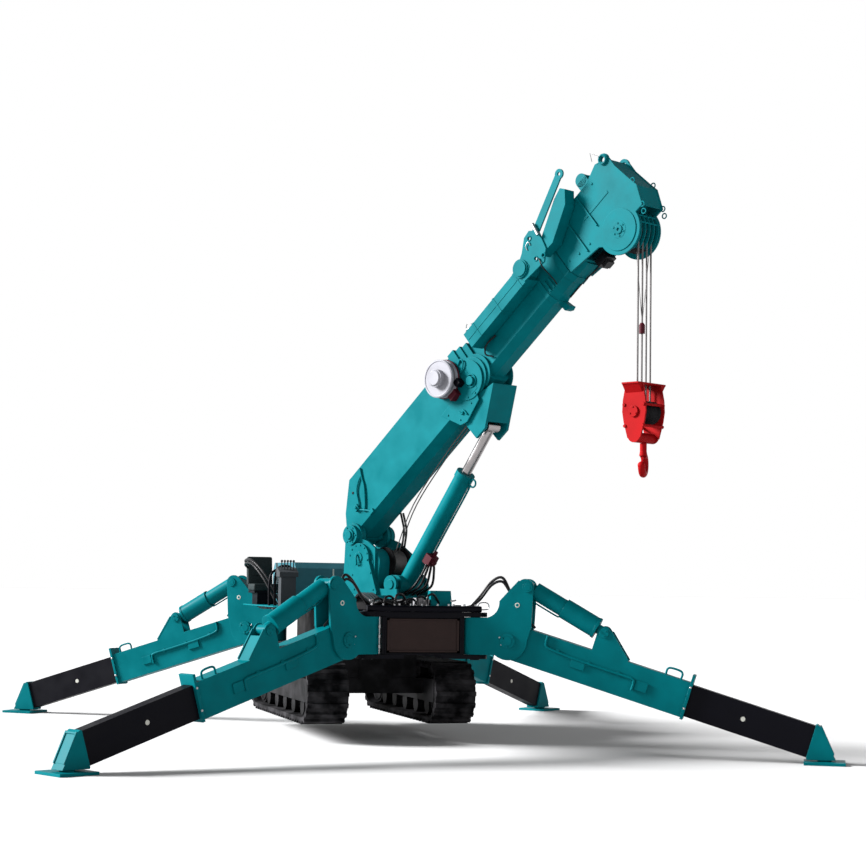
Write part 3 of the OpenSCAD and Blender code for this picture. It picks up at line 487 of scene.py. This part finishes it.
(hx0, hy0, hz0), (hx1, hy1, hz1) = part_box("hood")
PROUD, SUNK, SEAM_W = 0.0015, 0.004, 0.006
SEAM_Z = hz0 + 0.10
SLOTS, SLOT_STEP, SLOT_W = 7, 0.07, 0.03
LOUVRES, LOUVRE_STEP, LOUVRE_H = 9, 0.028, 0.013
seams = Piece("hood_seams", "carrier", BLACK, "black_paint")
seams.box(WORLD, (hx0 + 0.04, hy0 - PROUD, SEAM_Z), (hx1 - 0.04, hy0 + SUNK, SEAM_Z + SEAM_W))
for x in (hx0 - PROUD, hx1 - SUNK):
    out = x + PROUD + SUNK
    seams.box(WORLD, (x, hy0 + 0.08, SEAM_Z), (out, hy1 - 0.10, SEAM_Z + SEAM_W))
    for i in range(SLOTS):
        y = hy0 + 0.30 + SLOT_STEP * i
        seams.box(WORLD, (x, y, hz0 + 0.17), (out, y + SLOT_W, hz0 + 0.30))
for i in range(LOUVRES):
    z = hz0 + 0.05 + LOUVRE_STEP * i
    seams.box(WORLD, (hx0 + 0.25, hy1 - SUNK, z), (hx1 - 0.25, hy1 + PROUD, z + LOUVRE_H))
seams.box(WORLD, (-0.02, hy0 + 0.10, hz1 - SUNK), (-0.02 + SEAM_W, hy1 - 0.12, hz1 + PROUD))
seams.ride()
bright = Piece("hood_latches", "carrier", WHITE, "grey_plastic")
bright.box(WORLD, (-0.272, hy0 - 0.004, hz1 - 0.135), (-0.258, hy0 + 0.004, hz1 - 0.062))
for x in (hx0 + 0.15, hx1 - 0.15):
    bright.rod(WORLD, (x, hy0 - 0.012, hz0 + 0.16), (x, hy0 + 0.004, hz0 + 0.16), 0.02)
bright.ride()

# Operator's place: handrail, seat on its stand

(sx0, sy0, sz0), (sx1, _, sz1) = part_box("seat")
RAIL_R = 0.013
rail = Piece("handrail", "carrier", BLACK, "black_paint")
for x, top in ((sx0 + 0.012, 0.36), (sx0 + 0.07, 0.40)):
    rail.tube(ON_DECK, [(x, 0.18, DECK_T), (x, 0.18, top - 0.10), (x + 0.05, 0.20, top), (x + 0.16, 0.22, top),
                        (x + 0.20, 0.22, top - 0.10), (x + 0.20, 0.22, DECK_T)], RAIL_R, step=5)
rail.ride()

SOFT = 0.32  # rounding of a cushion, as a share of its thickness


def cushion(name, lo, hi, tilt):
    """Padded block with soft corners, leaning back by tilt degrees about its lower front edge."""
    size = [b - a for a, b in zip(lo, hi)]
    bm = bmesh.new()
    bmesh.ops.create_cube(bm, size=1, matrix=Matrix.Diagonal((*size, 1)))
    bmesh.ops.bevel(bm, geom=bm.edges, offset=min(size) * SOFT, segments=4, profile=0.6, affect="EDGES")
    data = bpy.data.meshes.new(name)
    bm.to_mesh(data)
    bm.free()
    data.shade_smooth()
    data.materials.append(SEAT)
    o = bpy.data.objects.new(name, data)
    bpy.context.collection.objects.link(o)
    half = Vector(size) / 2
    o.matrix_world = mov(*lo) @ rot("X", -tilt) @ Matrix.Translation(half)
    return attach(o, "carrier")


stand = Piece("seat_stand", "carrier", BLACK, "black_paint")
stand.box(WORLD, (sx0 + 0.045, sy0 + 0.03, sz0), (sx1 - 0.045, sy0 + 0.30, sz0 + 0.12))
stand.box(WORLD, (sx0 + 0.01, sy0 + 0.01, sz0 + 0.119), (sx1 - 0.01, sy0 + 0.345, sz0 + 0.14))
stand.box(WORLD, (sx0 + 0.05, sy0 + 0.35, sz0 + 0.13), (sx1 - 0.05, sy0 + 0.39, sz0 + 0.30))
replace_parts(stand.ride(), "seat")
cushion("seat_cushion", (sx0, sy0, sz0 + 0.141), (sx1, sy0 + 0.33, sz0 + 0.215), 0)
cushion("seat_back", (sx0, sy0 + 0.335, sz0 + 0.20), (sx1, sy0 + 0.41, sz1 - 0.005), 9)

# Tracks: hubs with bolts on both faces of the end wheels, rims, a bar inside each loop

AXLE_Z = TRACK_Z + TRACK_H / 2
HUB_OUT, HUB_R, HUB_T = 0.11, 0.13, 0.012
HUB_BOLTS, HUB_RING = 8, 0.10
hubs = Piece("track_hubs", "carrier", IRON, "dark_steel")
for sx in (-1, 1):
    for sy in (-1, 1):
        y = TRACK_Y + sy * (TRACK_L - TRACK_H) / 2
        for s in (sx, -sx):
            x, out = sx * GAUGE / 2 + s * HUB_OUT, (s, 0, 0)
            hubs.disc(WORLD, (x, y, AXLE_Z), out, HUB_T, HUB_R, sides=32)
            hubs.disc(WORLD, (x, y, AXLE_Z), out, 0.03, 0.062)
            for i in range(HUB_BOLTS):
                a = 360 / HUB_BOLTS * i
                hubs.bolts(WORLD, [(x + s * HUB_T, y + HUB_RING * cos(a), AXLE_Z + HUB_RING * sin(a))], out)
            hubs.hoop(WORLD, (x, y, AXLE_Z), (1, 0, 0), 0.205, 0.012)
    x = sx * GAUGE / 2
    hubs.box(WORLD, (x - 0.02, TRACK_Y - 0.85, AXLE_Z + 0.11), (x + 0.02, TRACK_Y + 0.85, AXLE_Z + 0.222))
hubs.ride()

# Legs: pin caps, bare discs, pipes, handles, flange bolts, rails, hoses

CAP_T = 0.012
DISC_R, DISC_Z = 0.405, 1.345
FLANGE_BOLTS = -0.12, -0.04, 0.04, 0.12
PIPE_OFF, PLATE_OFF = 0.013, 0.016  # pipe and plates from the arm's front face
LUG_RAKE, FOOT_RAKE = 137.8, 113.7  # slopes of the lug and of the foot
PLUG_SHARE = 0.45


def bracket_trim(k):
    """Caps and bolts on both cheeks, a bare disc on the front one unless the photograph hides it."""
    place, front = leg(k), fore(k)
    caps = Piece("bracket_caps_" + k, "bracket_" + k, TEAL, "teal_paint")
    heads = Piece("bracket_bolts_" + k, "bracket_" + k, STEEL, "chrome")
    for s in (-1, 1):
        y, out = s * CHEEK, (0, s, 0)
        caps.disc(place, (PIVOT_R, y, PIVOT_Z), out, CAP_T, 0.068)
        caps.disc(place, (CYL_R, y, CYL_Z), out, 0.009, 0.046, sides=24)
        caps.bolts(place, ring(PIVOT_R, y + s * CAP_T, PIVOT_Z, 0.052, (30, 150, 270)), out, *BOLT)
        heads.bolts(place, [(0.245, y, 1.05), (0.262, y, 0.985)], out, 0.008, 0.005)
    if k != "rr":
        centre, out = (DISC_R, front * CHEEK, DISC_Z), (0, front, 0)
        caps.disc(place, centre, out, 0.0026, 0.013, sides=20)
        marks = Piece("bracket_discs_" + k, "bracket_" + k, WHITE, "grey_plastic")
        marks.disc(place, centre, out, 0.0016, 0.023, sides=24)
        marks.ride()
    caps.ride()
    heads.ride()


def arm_trim(k):
    """Pipe and plates on the front face, handle on top, bolts of the flange and the lug, rails on the lug."""
    place, front = arm(k), fore(k)
    face, top = front * ARM_W / 2, ARM_H / 2
    pipes = Piece("arm_pipes_" + k, "arm_" + k, TEAL, "teal_paint")
    y = face + front * PIPE_OFF
    pipes.tube(place, [(0.335, y, 0.158), (0.335, y, 0.10), (0.37, y, 0.055), (0.60, y, 0.035), (0.95, y, 0.03),
                       (1.16, y, 0.03), (1.19, y, 0.0), (1.19, y, -0.07)], 0.012, step=5)
    for s, n in ((0.44, 0.028), (0.74, 0.014), (1.02, 0.012)):
        pipes.box(place, (s, face, n), (s + 0.03, y, n + 0.04))
    for s, n, length, height in ((0.60, -0.045, 0.13, 0.075), (1.21, -0.055, 0.11, 0.085)):
        pipes.box(place, (s, face * 0.98, n), (s + length, face + front * PLATE_OFF, n + height))
    y = front * 0.055
    pipes.tube(place, [(1.44, y, top - 0.004), (1.44, y, top + 0.05), (1.47, y, top + 0.07), (1.55, y, top + 0.07),
                       (1.58, y, top + 0.05), (1.58, y, top - 0.004)], 0.010, step=4)
    slope = place @ mov(LUG_S + 0.286, 0, top) @ rot("Y", -LUG_RAKE)
    for s in (-1, 1):
        pipes.bolts(place, [(ARM_LEN - 0.025, s * 0.088, n) for n in FLANGE_BOLTS], (-1, 0, 0), 0.010)
        pin_end = s * (ARM_W / 2 + 0.012)
        pipes.bolts(place, ring(LUG_S, pin_end, LUG_N, 0.024, (60, 180, 300)), (0, s, 0), 0.007, 0.005)
        pipes.box(slope, (0.012, s * 0.076 - 0.006, -0.010), (0.305, s * 0.076 + 0.006, 0.004))
    pipes.ride()
    studs = Piece("arm_studs_" + k, "arm_" + k, STEEL, "chrome")
    y = face + front * 0.018
    studs.bolts(place, [(ARM_LEN - 0.0125, y, n) for n in (-0.075, 0.12)], (0, front, 0), 0.011, 0.006)
    studs.ride()


def extension_trim(k):
    """White plug on the extension, rails on the foot's slope."""
    front = fore(k)
    plug = Piece("ext_plug_" + k, "ext_" + k, WHITE, "grey_plastic")
    s = ARM_LEN + PLUG_SHARE * EXT_OUT
    plug.rod(arm(k), (s, front * 0.054, 0), (s, front * 0.0615, 0), 0.0224)
    plug.ride()
    rails = Piece("foot_rails_" + k, "ext_" + k, TEAL, "teal_paint")
    slope = leg(k) @ mov(REACH + 0.072, 0, 0.087) @ rot("Y", -FOOT_RAKE)
    for s in (-1, 1):
        rails.box(slope, (-0.004, s * 0.073 - 0.007, -0.012), (0.266, s * 0.073 + 0.007, 0.004))
    rails.box(slope, (0.0, -0.068, -0.002), (0.258, 0.068, 0.004))
    rails.box(slope, (0.246, -0.068, -0.012), (0.262, 0.068, 0.004))
    rails.ride()


def leg_lines(k):
    """Line along the lifting cylinder, hoses from the carrier to the bracket and on to the arm."""
    front = fore(k)
    clamp = Piece("cylinder_port_" + k, "barrel_" + k, TEAL, "teal_paint")
    clamp.box(cylinder(k), (0.066, -0.022, -0.086), (0.088, 0.022, -0.06))
    clamp.ride()
    pipe = at(cylinder(k), [(0.086, 0, -0.083), (0.11, 0, -0.092), (0.15, 0, -0.097), (0.34, 0, -0.097),
                            (0.365, 0, -0.090), (0.375, 0, -0.07)])
    hose("cylinder_pipe_" + k, "barrel_" + k, pipe, 0.008, finish=TEAL, slot="teal_paint")
    deck = leg(k) @ ON_DECK
    for i in range(2):
        d = 0.035 * i
        route = at(deck, [(-0.05, -front * (0.015 + d), 0.05), (0.04, -front * (0.03 + d), 0.12 + d),
                          (0.14, -front * (0.04 + d), 0.25 + d), (0.24, -front * (0.04 + d / 2), 0.285 + d),
                          (0.315, -front * (0.03 + d / 2), 0.192)])
        if k == "rl":
            route[:3] = at(ON_DECK, [(-0.82 + d, 0.50, 0.02), (-0.93 + d / 2, 0.64, 0.27 + d),
                                     (-1.015, 0.88, 0.43 + d), (-1.02, 1.22, 0.42 + d)])
        hose(f"leg_hose_{k}_{i}", "carrier", route, 0.013)
    link = at(deck, [(0.36, front * 0.05, 0.02), (0.43, front * 0.055, -0.05), (0.50, front * 0.06, -0.07),
                     (0.565, front * 0.055, -0.13)])
    hose("pivot_hose_" + k, "bracket_" + k, link, 0.012)


for k in LEGS:
    bracket_trim(k)
    arm_trim(k)
    extension_trim(k)
    leg_lines(k)

# Turret: bolts and handle on the left plate, boom foot pin, ring of bolts on the floor, hoses

SIDE_Y = -TURRET_OUT - 0.032
COVER_E, COVER_Z, COVER_R = -0.108, 1.768, 0.122
FLOOR_R, FLOOR_Z = 0.315, 1.407
turret_trim = Piece("turret_trim", "turret", TEAL, "teal_paint")
turret_bolts = Piece("turret_bolts", "turret", TEAL, "teal_paint")
turret_bolts.bolts(TURRET, ring(COVER_E, SIDE_Y, COVER_Z, COVER_R, range(-10, 200, 30)), (0, -1, 0), *BOLT)
plate_bolts = ((-0.19, 1.60), (-0.16, 1.46), (0.10, 1.46), (0.06, 1.62))
turret_bolts.bolts(TURRET, [(e, SIDE_Y, z) for e, z in plate_bolts], (0, -1, 0), *BOLT)
cover = TURRET @ mov(COVER_E, SIDE_Y, COVER_Z)
turret_trim.tube(cover, [(-0.005, -0.012, 0.03), (-0.005, -0.03, 0), (0.005, -0.03, -0.05), (-0.02, -0.012, -0.07)],
                 0.009, step=4)
for s in (-1, 1):
    out = (0, s, 0)
    turret_trim.disc(TURRET, (-FOOT_BACK, s * (TURRET_OUT + 0.058), FOOT_Z), out, 0.014, 0.04)
    foot_bolts = ring(-FOOT_BACK, s * (TURRET_OUT + 0.044), FOOT_Z, 0.078, range(0, 360, 60))
    turret_bolts.bolts(TURRET, foot_bolts, out, *BOLT)
floor_bolts = [(FLOOR_R * cos(a), FLOOR_R * sin(a), FLOOR_Z) for a in range(0, 360, 20)]
turret_bolts.bolts(TURRET, [p for p in floor_bolts if abs(p[1]) < 0.19], (0, 0, 1), 0.012, 0.012)
turret_trim.ride()
turret_bolts.ride()

lines = Piece("turret_hoses", "turret", HOSE, "rubber")
for i in range(3):
    y = -0.10 + 0.08 * i
    lines.tube(TURRET, [(0.06, y, 1.41), (0.10, y, 1.50), (0.17, y - 0.02, 1.53), (0.22, y, 1.44), (0.24, y, 1.41)],
               0.013)
lines.tube(TURRET, [(-0.04, -0.04, 1.41), (0.0, -0.03, 1.49), (0.06, -0.01, 1.52), (0.09, 0.08, 1.49),
                    (0.08, 0.14, 1.41)], 0.012)
lines.ride()

# Winch: rope on the drum

TURNS, PER_TURN = 12, 24
ROPE_FROM, ROPE_TO, ROPE_R = -0.026, 0.163, 0.0078
WIND_R = DRUM_R + 0.008
wind = []
for i in range(PER_TURN * TURNS + 1):
    a = 360 / PER_TURN * i
    y = ROPE_FROM + (ROPE_TO - ROPE_FROM) * i / (PER_TURN * TURNS)
    wind.append((DRUM_E + WIND_R * cos(a), y, DRUM_Z + WIND_R * sin(a)))
rope = Piece("drum_rope", "winch", WIRE, "wire")
rope.tube(TURRET, wind, ROPE_R, step=1, sides=6)
rope.ride()

# Luff cylinder: gland loop and pipe on its underside, valve, hoses to the turret

LOOP_S, VALVE_S = 1.275, 0.38
luff_trim = Piece("luff_trim", "luff_barrel", TEAL, "teal_paint")
luff_trim.hoop(LUFF_UNDER, (LOOP_S, 0, -0.045), ACROSS, 0.036, 0.009)
luff_trim.rod(LUFF_UNDER, (LOOP_S, 0, 0), (LOOP_S, 0, -0.015), 0.014)
luff_trim.tube(LUFF_UNDER, [(0.40, 0.03, -0.012), (0.80, 0.03, -0.012), (1.18, 0.03, -0.012), (1.21, 0.03, 0.008)],
               0.009, step=4)
luff_trim.ride()
valve = Piece("luff_valve", "luff_barrel", MAROON, "red_paint")
valve.box(LUFF_UNDER, (VALVE_S - 0.05, -0.05, -0.075), (VALVE_S + 0.05, 0.055, 0.01))
valve.rod(LUFF_UNDER, (VALVE_S, 0, -0.07), (VALVE_S, 0, -0.10), 0.03)
valve.rod(LUFF_UNDER, (VALVE_S + 0.04, 0.02, -0.035), (VALVE_S + 0.095, 0.02, -0.035), 0.02)
valve.ride()
for i in range(4):
    y = -0.075 + 0.045 * i
    low = at(TURRET, [(LUFF_E + 0.06, y * 1.5, 1.415), (LUFF_E + 0.20 + 0.02 * i, y * 1.3, 1.50)])
    high = at(LUFF_UNDER, [(0.25 + 0.015 * i, y, -0.085), (0.345, y * 0.7, -0.06)])
    hose(f"luff_hose_{i}", "turret", low + high, 0.012)

# Boom base: reel, pipes and fittings on the left flank, bolts on both

FLANK = BOOM_W / 2
LEFT = BOOM @ mov(0, -FLANK, 0)
REEL = LEFT @ mov(1.865, 0, 0.33)
RIDGES, RIDGE_STEP = 5, 0.011
COLLAR_S, COLLAR_UP, COLLAR_R, COLLAR_T = 2.05, 0.15, 0.165, 0.012
reel_trim = Piece("reel_trim", "boom", MAROON, "red_paint")
reel_trim.hoop(REEL, (0, -0.039, 0), ACROSS, 0.176, 0.012, count=40)
reel_trim.rod(REEL, (0, -0.0365, 0), (0, -0.0415, 0), 0.178, sides=40)
reel_trim.box(REEL, (-0.05, -0.075, -0.235), (0.05, 0.002, -0.165))
reel_trim.ride()
reel_cap = Piece("reel_cap", "boom", GREY, "grey_plastic")
reel_cap.rod(REEL, (0, -0.18, 0), (0, -0.195, 0), 0.078, 0.066, sides=36)
reel_cap.hoop(REEL, (0, -0.125, 0), ACROSS, 0.168, 0.010, count=40)
for i in range(RIDGES):
    reel_cap.hoop(REEL, (0, -0.064 - RIDGE_STEP * i, 0), ACROSS, 0.132, 0.0055, count=36)
reel_cap.ride()
dark = Piece("boom_dark_trim", "boom", BLACK, "black_paint")
dark.box(REEL, (0.09, -0.09, -0.19), (0.15, 0.002, -0.13))
dark.rod(LEFT, (0.235, 0.001, 0.345), (0.235, -0.004, 0.345), 0.016, sides=4)
dark.ride()

flank = Piece("boom_pipes", "boom", TEAL, "teal_paint")
y = -0.012
flank.tube(LEFT, [(0.47, y, 0.462), (0.43, y, 0.37), (0.40, y, 0.28), (0.31, y, 0.146), (0.25, y, 0.09)], 0.009)
flank.tube(LEFT, [(0.44, y, 0.40), (0.36, y, 0.37), (0.29, y, 0.31), (0.24, y, 0.20), (0.20, y, 0.185)], 0.008)
flank.box(LEFT, (0.17, -0.03, 0.155), (0.225, 0.002, 0.21))
flank.rod(LEFT, (0.20, -0.03, 0.183), (0.20, -0.048, 0.183), 0.014, sides=6)
flank.tube(LEFT, [(0.20, y, 0.16), (0.30, y, 0.06), (0.33, y, 0.02)], 0.010, step=4)
flank.box(LEFT, (0.305, -0.028, 0.0), (0.36, 0.002, 0.035))
flank.tube(LEFT, [(1.79, y, -0.02), (1.81, y, -0.06), (1.84, y, -0.04), (1.85, y, -0.10)], 0.009, step=4)
collar = LEFT @ mov(0, -COLLAR_T, 0)
flank.rod(collar, (2.085, 0, 0.105), (2.085, -0.03, 0.105), 0.042, sides=28)
flank.hoop(collar, (2.085, -0.006, 0.105), ACROSS, 0.06, 0.007)
flank.tube(collar, [(2.02, -0.004, 0.27), (2.05, -0.016, 0.245), (2.13, -0.016, 0.30), (2.12, -0.016, 0.345),
                    (2.06, -0.004, 0.33)], 0.008, step=4)
flank.ride()
dots = Piece("boom_bolts", "boom", TEAL, "teal_paint")
lug_bolts = ((1.66, 0.06), (1.75, -0.08), (1.95, -0.05))
for s in (-1, 1):
    collar_bolts = ring(COLLAR_S, s * (FLANK + COLLAR_T), COLLAR_UP, COLLAR_R, range(95, 271, 35))
    dots.bolts(BOOM, collar_bolts, (0, s, 0), 0.010, 0.006)
    dots.bolts(BOOM, [(e, s * (FLANK + 0.004), u) for e, u in lug_bolts], (0, s, 0), *BOLT)
dots.ride()

# Ropes from the winch along the boom's underside, hoses from the turret to the boom

for i, lat in enumerate((-0.022, 0.022)):
    route = at(TURRET, [(DRUM_E + 0.065, lat + 0.06, DRUM_Z + 0.093)]) + at(
        BOOM, [(0.66, lat + 0.01, -0.172), (1.30, lat, -0.085), (1.73, lat, -0.058)])
    hose(f"winch_rope_{i}", "turret", route, 0.006, finish=WIRE, slot="wire")
for i in range(2):
    lat = 0.10 + 0.035 * i
    route = at(TURRET, [(0.11, lat + 0.02, 1.865), (0.14, lat, 1.90)]) + at(
        BOOM, [(0.325, lat, -0.21), (0.37, lat, -0.12), (0.40, lat, -0.045)])
    hose(f"boom_hose_{i}", "turret", route, 0.011)

# Tip section: stowed jib on its left

SIDE = HEAD_W / 2
TIP_LEFT = BOOM @ mov(0, -SIDE, 0)
JIB = TIP_LEFT @ mov(0, -0.172, 0)
tip = Piece("tip_trim", "tip_section", TEAL, "teal_paint")
for e in (3.26, 3.31):
    tip.box(TIP_LEFT, (e, -0.014, 0.10), (e + 0.022, 0.002, 0.22))
for e in (2.48, 2.80, 3.12):
    tip.box(TIP_LEFT, (e, -0.163, 0.272), (e + 0.022, -0.01, 0.443))
tip.box(TIP_LEFT, (2.36, -0.163, 0.355), (3.20, -0.158, 0.361))
tip.rod(TIP_LEFT, (3.235, -0.186, 0.40), (3.235, -0.196, 0.40), 0.072, sides=36)
for e, u in ((3.42, 0.34), (3.50, 0.30), (3.48, 0.54), (3.30, 0.36)):
    tip.hoop(JIB, (e, -0.001, u), ACROSS, 0.021, 0.006)

# Head: guide roller on top, ears, ribs, round sheave covers, rings and bolts on both sides

ROLLER_S, ROLLER_UP, ROLLER_R = 4.113, 0.69, 0.05
CHEEK_R, CHEEK_T = 0.0625, 0.006  # the roller's cheeks: end radius and half thickness
HEAD_OUT = SIDE + 0.018
COVER_T, RIB_OUT, RIB_T = 0.007, 0.016, 0.014
head_bolts = ((3.60, 0.15), (3.60, 0.34), (3.72, 0.12), (3.72, 0.42), (3.86, 0.10), (3.98, 0.50), (4.22, 0.50))
for lat in (-0.05, 0.05):
    tip.box(BOOM, (4.05, lat - CHEEK_T, 0.535), (4.175, lat + CHEEK_T, ROLLER_UP))
    tip.rod(BOOM, (ROLLER_S, lat - CHEEK_T, ROLLER_UP), (ROLLER_S, lat + CHEEK_T, ROLLER_UP), CHEEK_R, sides=28)
tip.rod(BOOM, (ROLLER_S, -0.045, ROLLER_UP), (ROLLER_S, 0.045, ROLLER_UP), ROLLER_R, sides=28)
for lat in (-0.03, -0.01, 0.01, 0.03):
    tip.hoop(BOOM, (ROLLER_S, lat, ROLLER_UP), ACROSS, 0.052, 0.009)
for s in (-1, 1):
    y, out = s * HEAD_OUT, (0, s, 0)
    tip.hoop(BOOM, (EAR_S, s * (SIDE + 0.034), EAR_UP), ACROSS, 0.038, 0.008)
    for e, u in ((4.548, 0.185), (4.487, -0.055), (4.458, -0.115)):
        tip.hoop(BOOM, (e, s * (SIDE + 0.012), u), ACROSS, 0.022, 0.006)
    tip.box(BOOM, (3.95, y - 0.004, 0.30), (4.30, y + 0.004, 0.325))
    for e, u0, u1 in ((3.80, 0.06, 0.50), (4.02, 0.16, 0.52)):
        tip.box(BOOM, (e, y, u0), (e + RIB_T, y + s * RIB_OUT, u1))
    tip.disc(BOOM, (SHEAVE_S, y, -SHEAVE_DROP), out, COVER_T, 0.188, sides=48)
    tip.bolts(BOOM, [(e, y, u) for e, u in head_bolts], out, 0.011, 0.007)
    pin_bolts = ring(SHEAVE_S, s * (SIDE + 0.026), -SHEAVE_DROP, 0.058, range(0, 360, 60))
    tip.bolts(BOOM, pin_bolts, out, 0.008, 0.006)
tip.ride()

rods = Piece("tip_rods", "tip_section", STEEL, "chrome")
rods.rod(JIB, (3.585, -0.02, 0.475), (3.60, -0.02, 0.60), 0.017)
rods.tube(BOOM, [(4.442, -0.19, 0.604), (4.401, -0.195, 0.697), (4.364, -0.19, 0.625)], 0.004, step=1)
rods.tube(JIB, [(3.40, -0.006, 0.47), (3.41, -0.012, 0.51), (3.46, -0.012, 0.515), (3.45, -0.006, 0.48)],
          0.004, step=2)
rods.hoop(BOOM, (2.42, -0.26, 0.455), (0.3, 1, 0.2), 0.05, 0.004)
rods.hoop(BOOM, (2.38, -0.24, 0.445), (0.1, 1, 0.5), 0.035, 0.004)
rods.ride()

cables = Piece("tip_cables", "tip_section", HOSE, "rubber")
cables.tube(BOOM, [(2.55, -0.16, 0.25), (2.43, -0.185, 0.245), (2.36, -0.18, 0.19), (2.40, -0.155, 0.12)], 0.008)
cables.tube(JIB, [(3.45, -0.01, 0.31), (3.43, -0.006, 0.22), (3.39, 0.108, 0.13), (3.36, 0.163, 0.10)], 0.006)
cables.box(BOOM, (3.735, -0.02, -0.045), (3.865, 0.11, 0.034))
cables.box(BOOM, (3.765, 0.0, -0.075), (3.835, 0.09, -0.044))
cables.tube(BOOM, [(3.74, 0.04, -0.01), (3.66, 0.05, 0.005), (3.50, 0.05, 0.024), (3.30, 0.05, 0.026)], 0.007)
cables.tube(BOOM, [(3.86, 0.06, 0.0), (3.92, 0.07, 0.04), (3.96, 0.09, 0.10)], 0.008)
cables.ride()

# Rope falls, limit weight and its wires, hook block

FALL_END = BLOCK_TOP - 0.175  # in the grooves of the block's sheaves
FALLS, FALL_R = 4, 0.0085
falls = Piece("rope_falls", "hoist", WIRE, "wire")
for i in range(FALLS):
    y = (i - (FALLS - 1) / 2) * FALL_PITCH
    falls.rod(HANG, (0, y, FALL_END), (0, y, HANG_Z), FALL_R, sides=10)
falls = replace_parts(falls.ride(), "ropes")
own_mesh(falls)

WEIGHT = HANG @ mov(0, -FALL_PITCH / 2, 3.725)
WEIGHT_R, WEIGHT_H = 0.026, 0.075
weight = Piece("limit_weight", "hoist", MAROON, "red_paint")
weight.rod(WEIGHT, (0, 0, 0), (0, 0, WEIGHT_H), WEIGHT_R)
weight.rod(WEIGHT, (0, 0, WEIGHT_H), (0, 0, WEIGHT_H + 0.02), WEIGHT_R, 0.014)
weight.ride()
wires = Piece("limit_wires", "hoist", WIRE, "wire")
for lat in (0.12, -0.06):
    wires.tube(WEIGHT, [(0, 0, 0.09), (-0.02, lat, 0.715)], 0.003, step=1)
wires.ride()

block_bolts = ((-0.105, -0.19), (0.105, -0.19), (-0.096, -0.375), (0.096, -0.375))
block_trim = Piece("block_trim", "block", RED, "red_paint")
for s in (-1, 1):
    y, out = s * (2 * FALL_PITCH + BLOCK_GAP + BLOCK_T), (0, s, 0)
    block_trim.disc(HANG, (0, y, BLOCK_AXLE), out, 0.016, 0.05)
    block_trim.bolts(HANG, ring(0, y + s * 0.014, BLOCK_AXLE, 0.036, (90, 210, 330)), out, 0.008)
    block_trim.bolts(HANG, [(e, y, BLOCK_TOP + z) for e, z in block_bolts], out, 0.016, 0.010)
block_trim.ride()

# Floor and sky

FLOOR_SIZE, FLOOR_DROP = 400, 0.0005
SKY_LOW, SKY_HIGH, SKY_DIM = 19, 40, 0.15  # the sky dims between two heights in degrees
bpy.ops.mesh.primitive_plane_add(size=FLOOR_SIZE, location=(0, 0, -FLOOR_DROP))
floor = bpy.context.object
floor.name = "floor"
floor_paint = bpy.data.materials.new("floor")
floor_paint.use_nodes = True
floor_shader = floor_paint.node_tree.nodes["Principled BSDF"]
floor_shader.inputs["Base Color"].default_value = (0.52, 0.52, 0.524, 1)
floor_shader.inputs["Roughness"].default_value = 0.9
floor_shader.inputs["Specular IOR Level"].default_value = 0.1
floor.data.materials.append(floor_paint)

world = bpy.data.worlds.new("studio")
bpy.context.scene.world = world
world.use_nodes = True
sky_nodes, sky_links = world.node_tree.nodes, world.node_tree.links
direction = sky_nodes.new("ShaderNodeSeparateXYZ")
sky_links.new(sky_nodes.new("ShaderNodeTexCoord").outputs["Generated"], direction.inputs["Vector"])
sky_links.new(ramp(sky_nodes, sky_links, direction.outputs["Z"], sin(SKY_LOW), sin(SKY_HIGH), 1.0, SKY_DIM),
              sky_nodes["Background"].inputs["Strength"])
sky_nodes["Background"].inputs["Color"].default_value = (1.0, 1.0, 1.0, 1)

# Light and camera


def sun(name, toward, strength, spread):
    """Broad even light that comes from the direction toward."""
    d = bpy.data.lights.new(name, "SUN")
    d.energy = strength
    d.angle = math.radians(spread)
    o = bpy.data.objects.new(name, d)
    bpy.context.collection.objects.link(o)
    o.rotation_euler = Vector(toward).to_track_quat("Z", "Y").to_euler()


sun("key", (-0.90, 0.32, 0.45), 13.5, 20)
sun("fill", (0.30, -0.85, 0.45), 0.25, 60)

EYE, HEADING, TILT, ROLL = (-4.7734, -18.6268, 1.541), -16.2843, 94.5, 0.886
camera = bpy.data.objects.new("camera", bpy.data.cameras.new("camera"))
bpy.context.collection.objects.link(camera)
camera.data.lens = 78.756
camera.data.sensor_width = 36
camera.data.clip_end = 500
camera.matrix_world = mov(*EYE) @ rot("Z", HEADING) @ rot("X", TILT) @ rot("Z", ROLL)
bpy.context.scene.camera = camera
bpy.context.scene.view_settings.view_transform = "Standard"
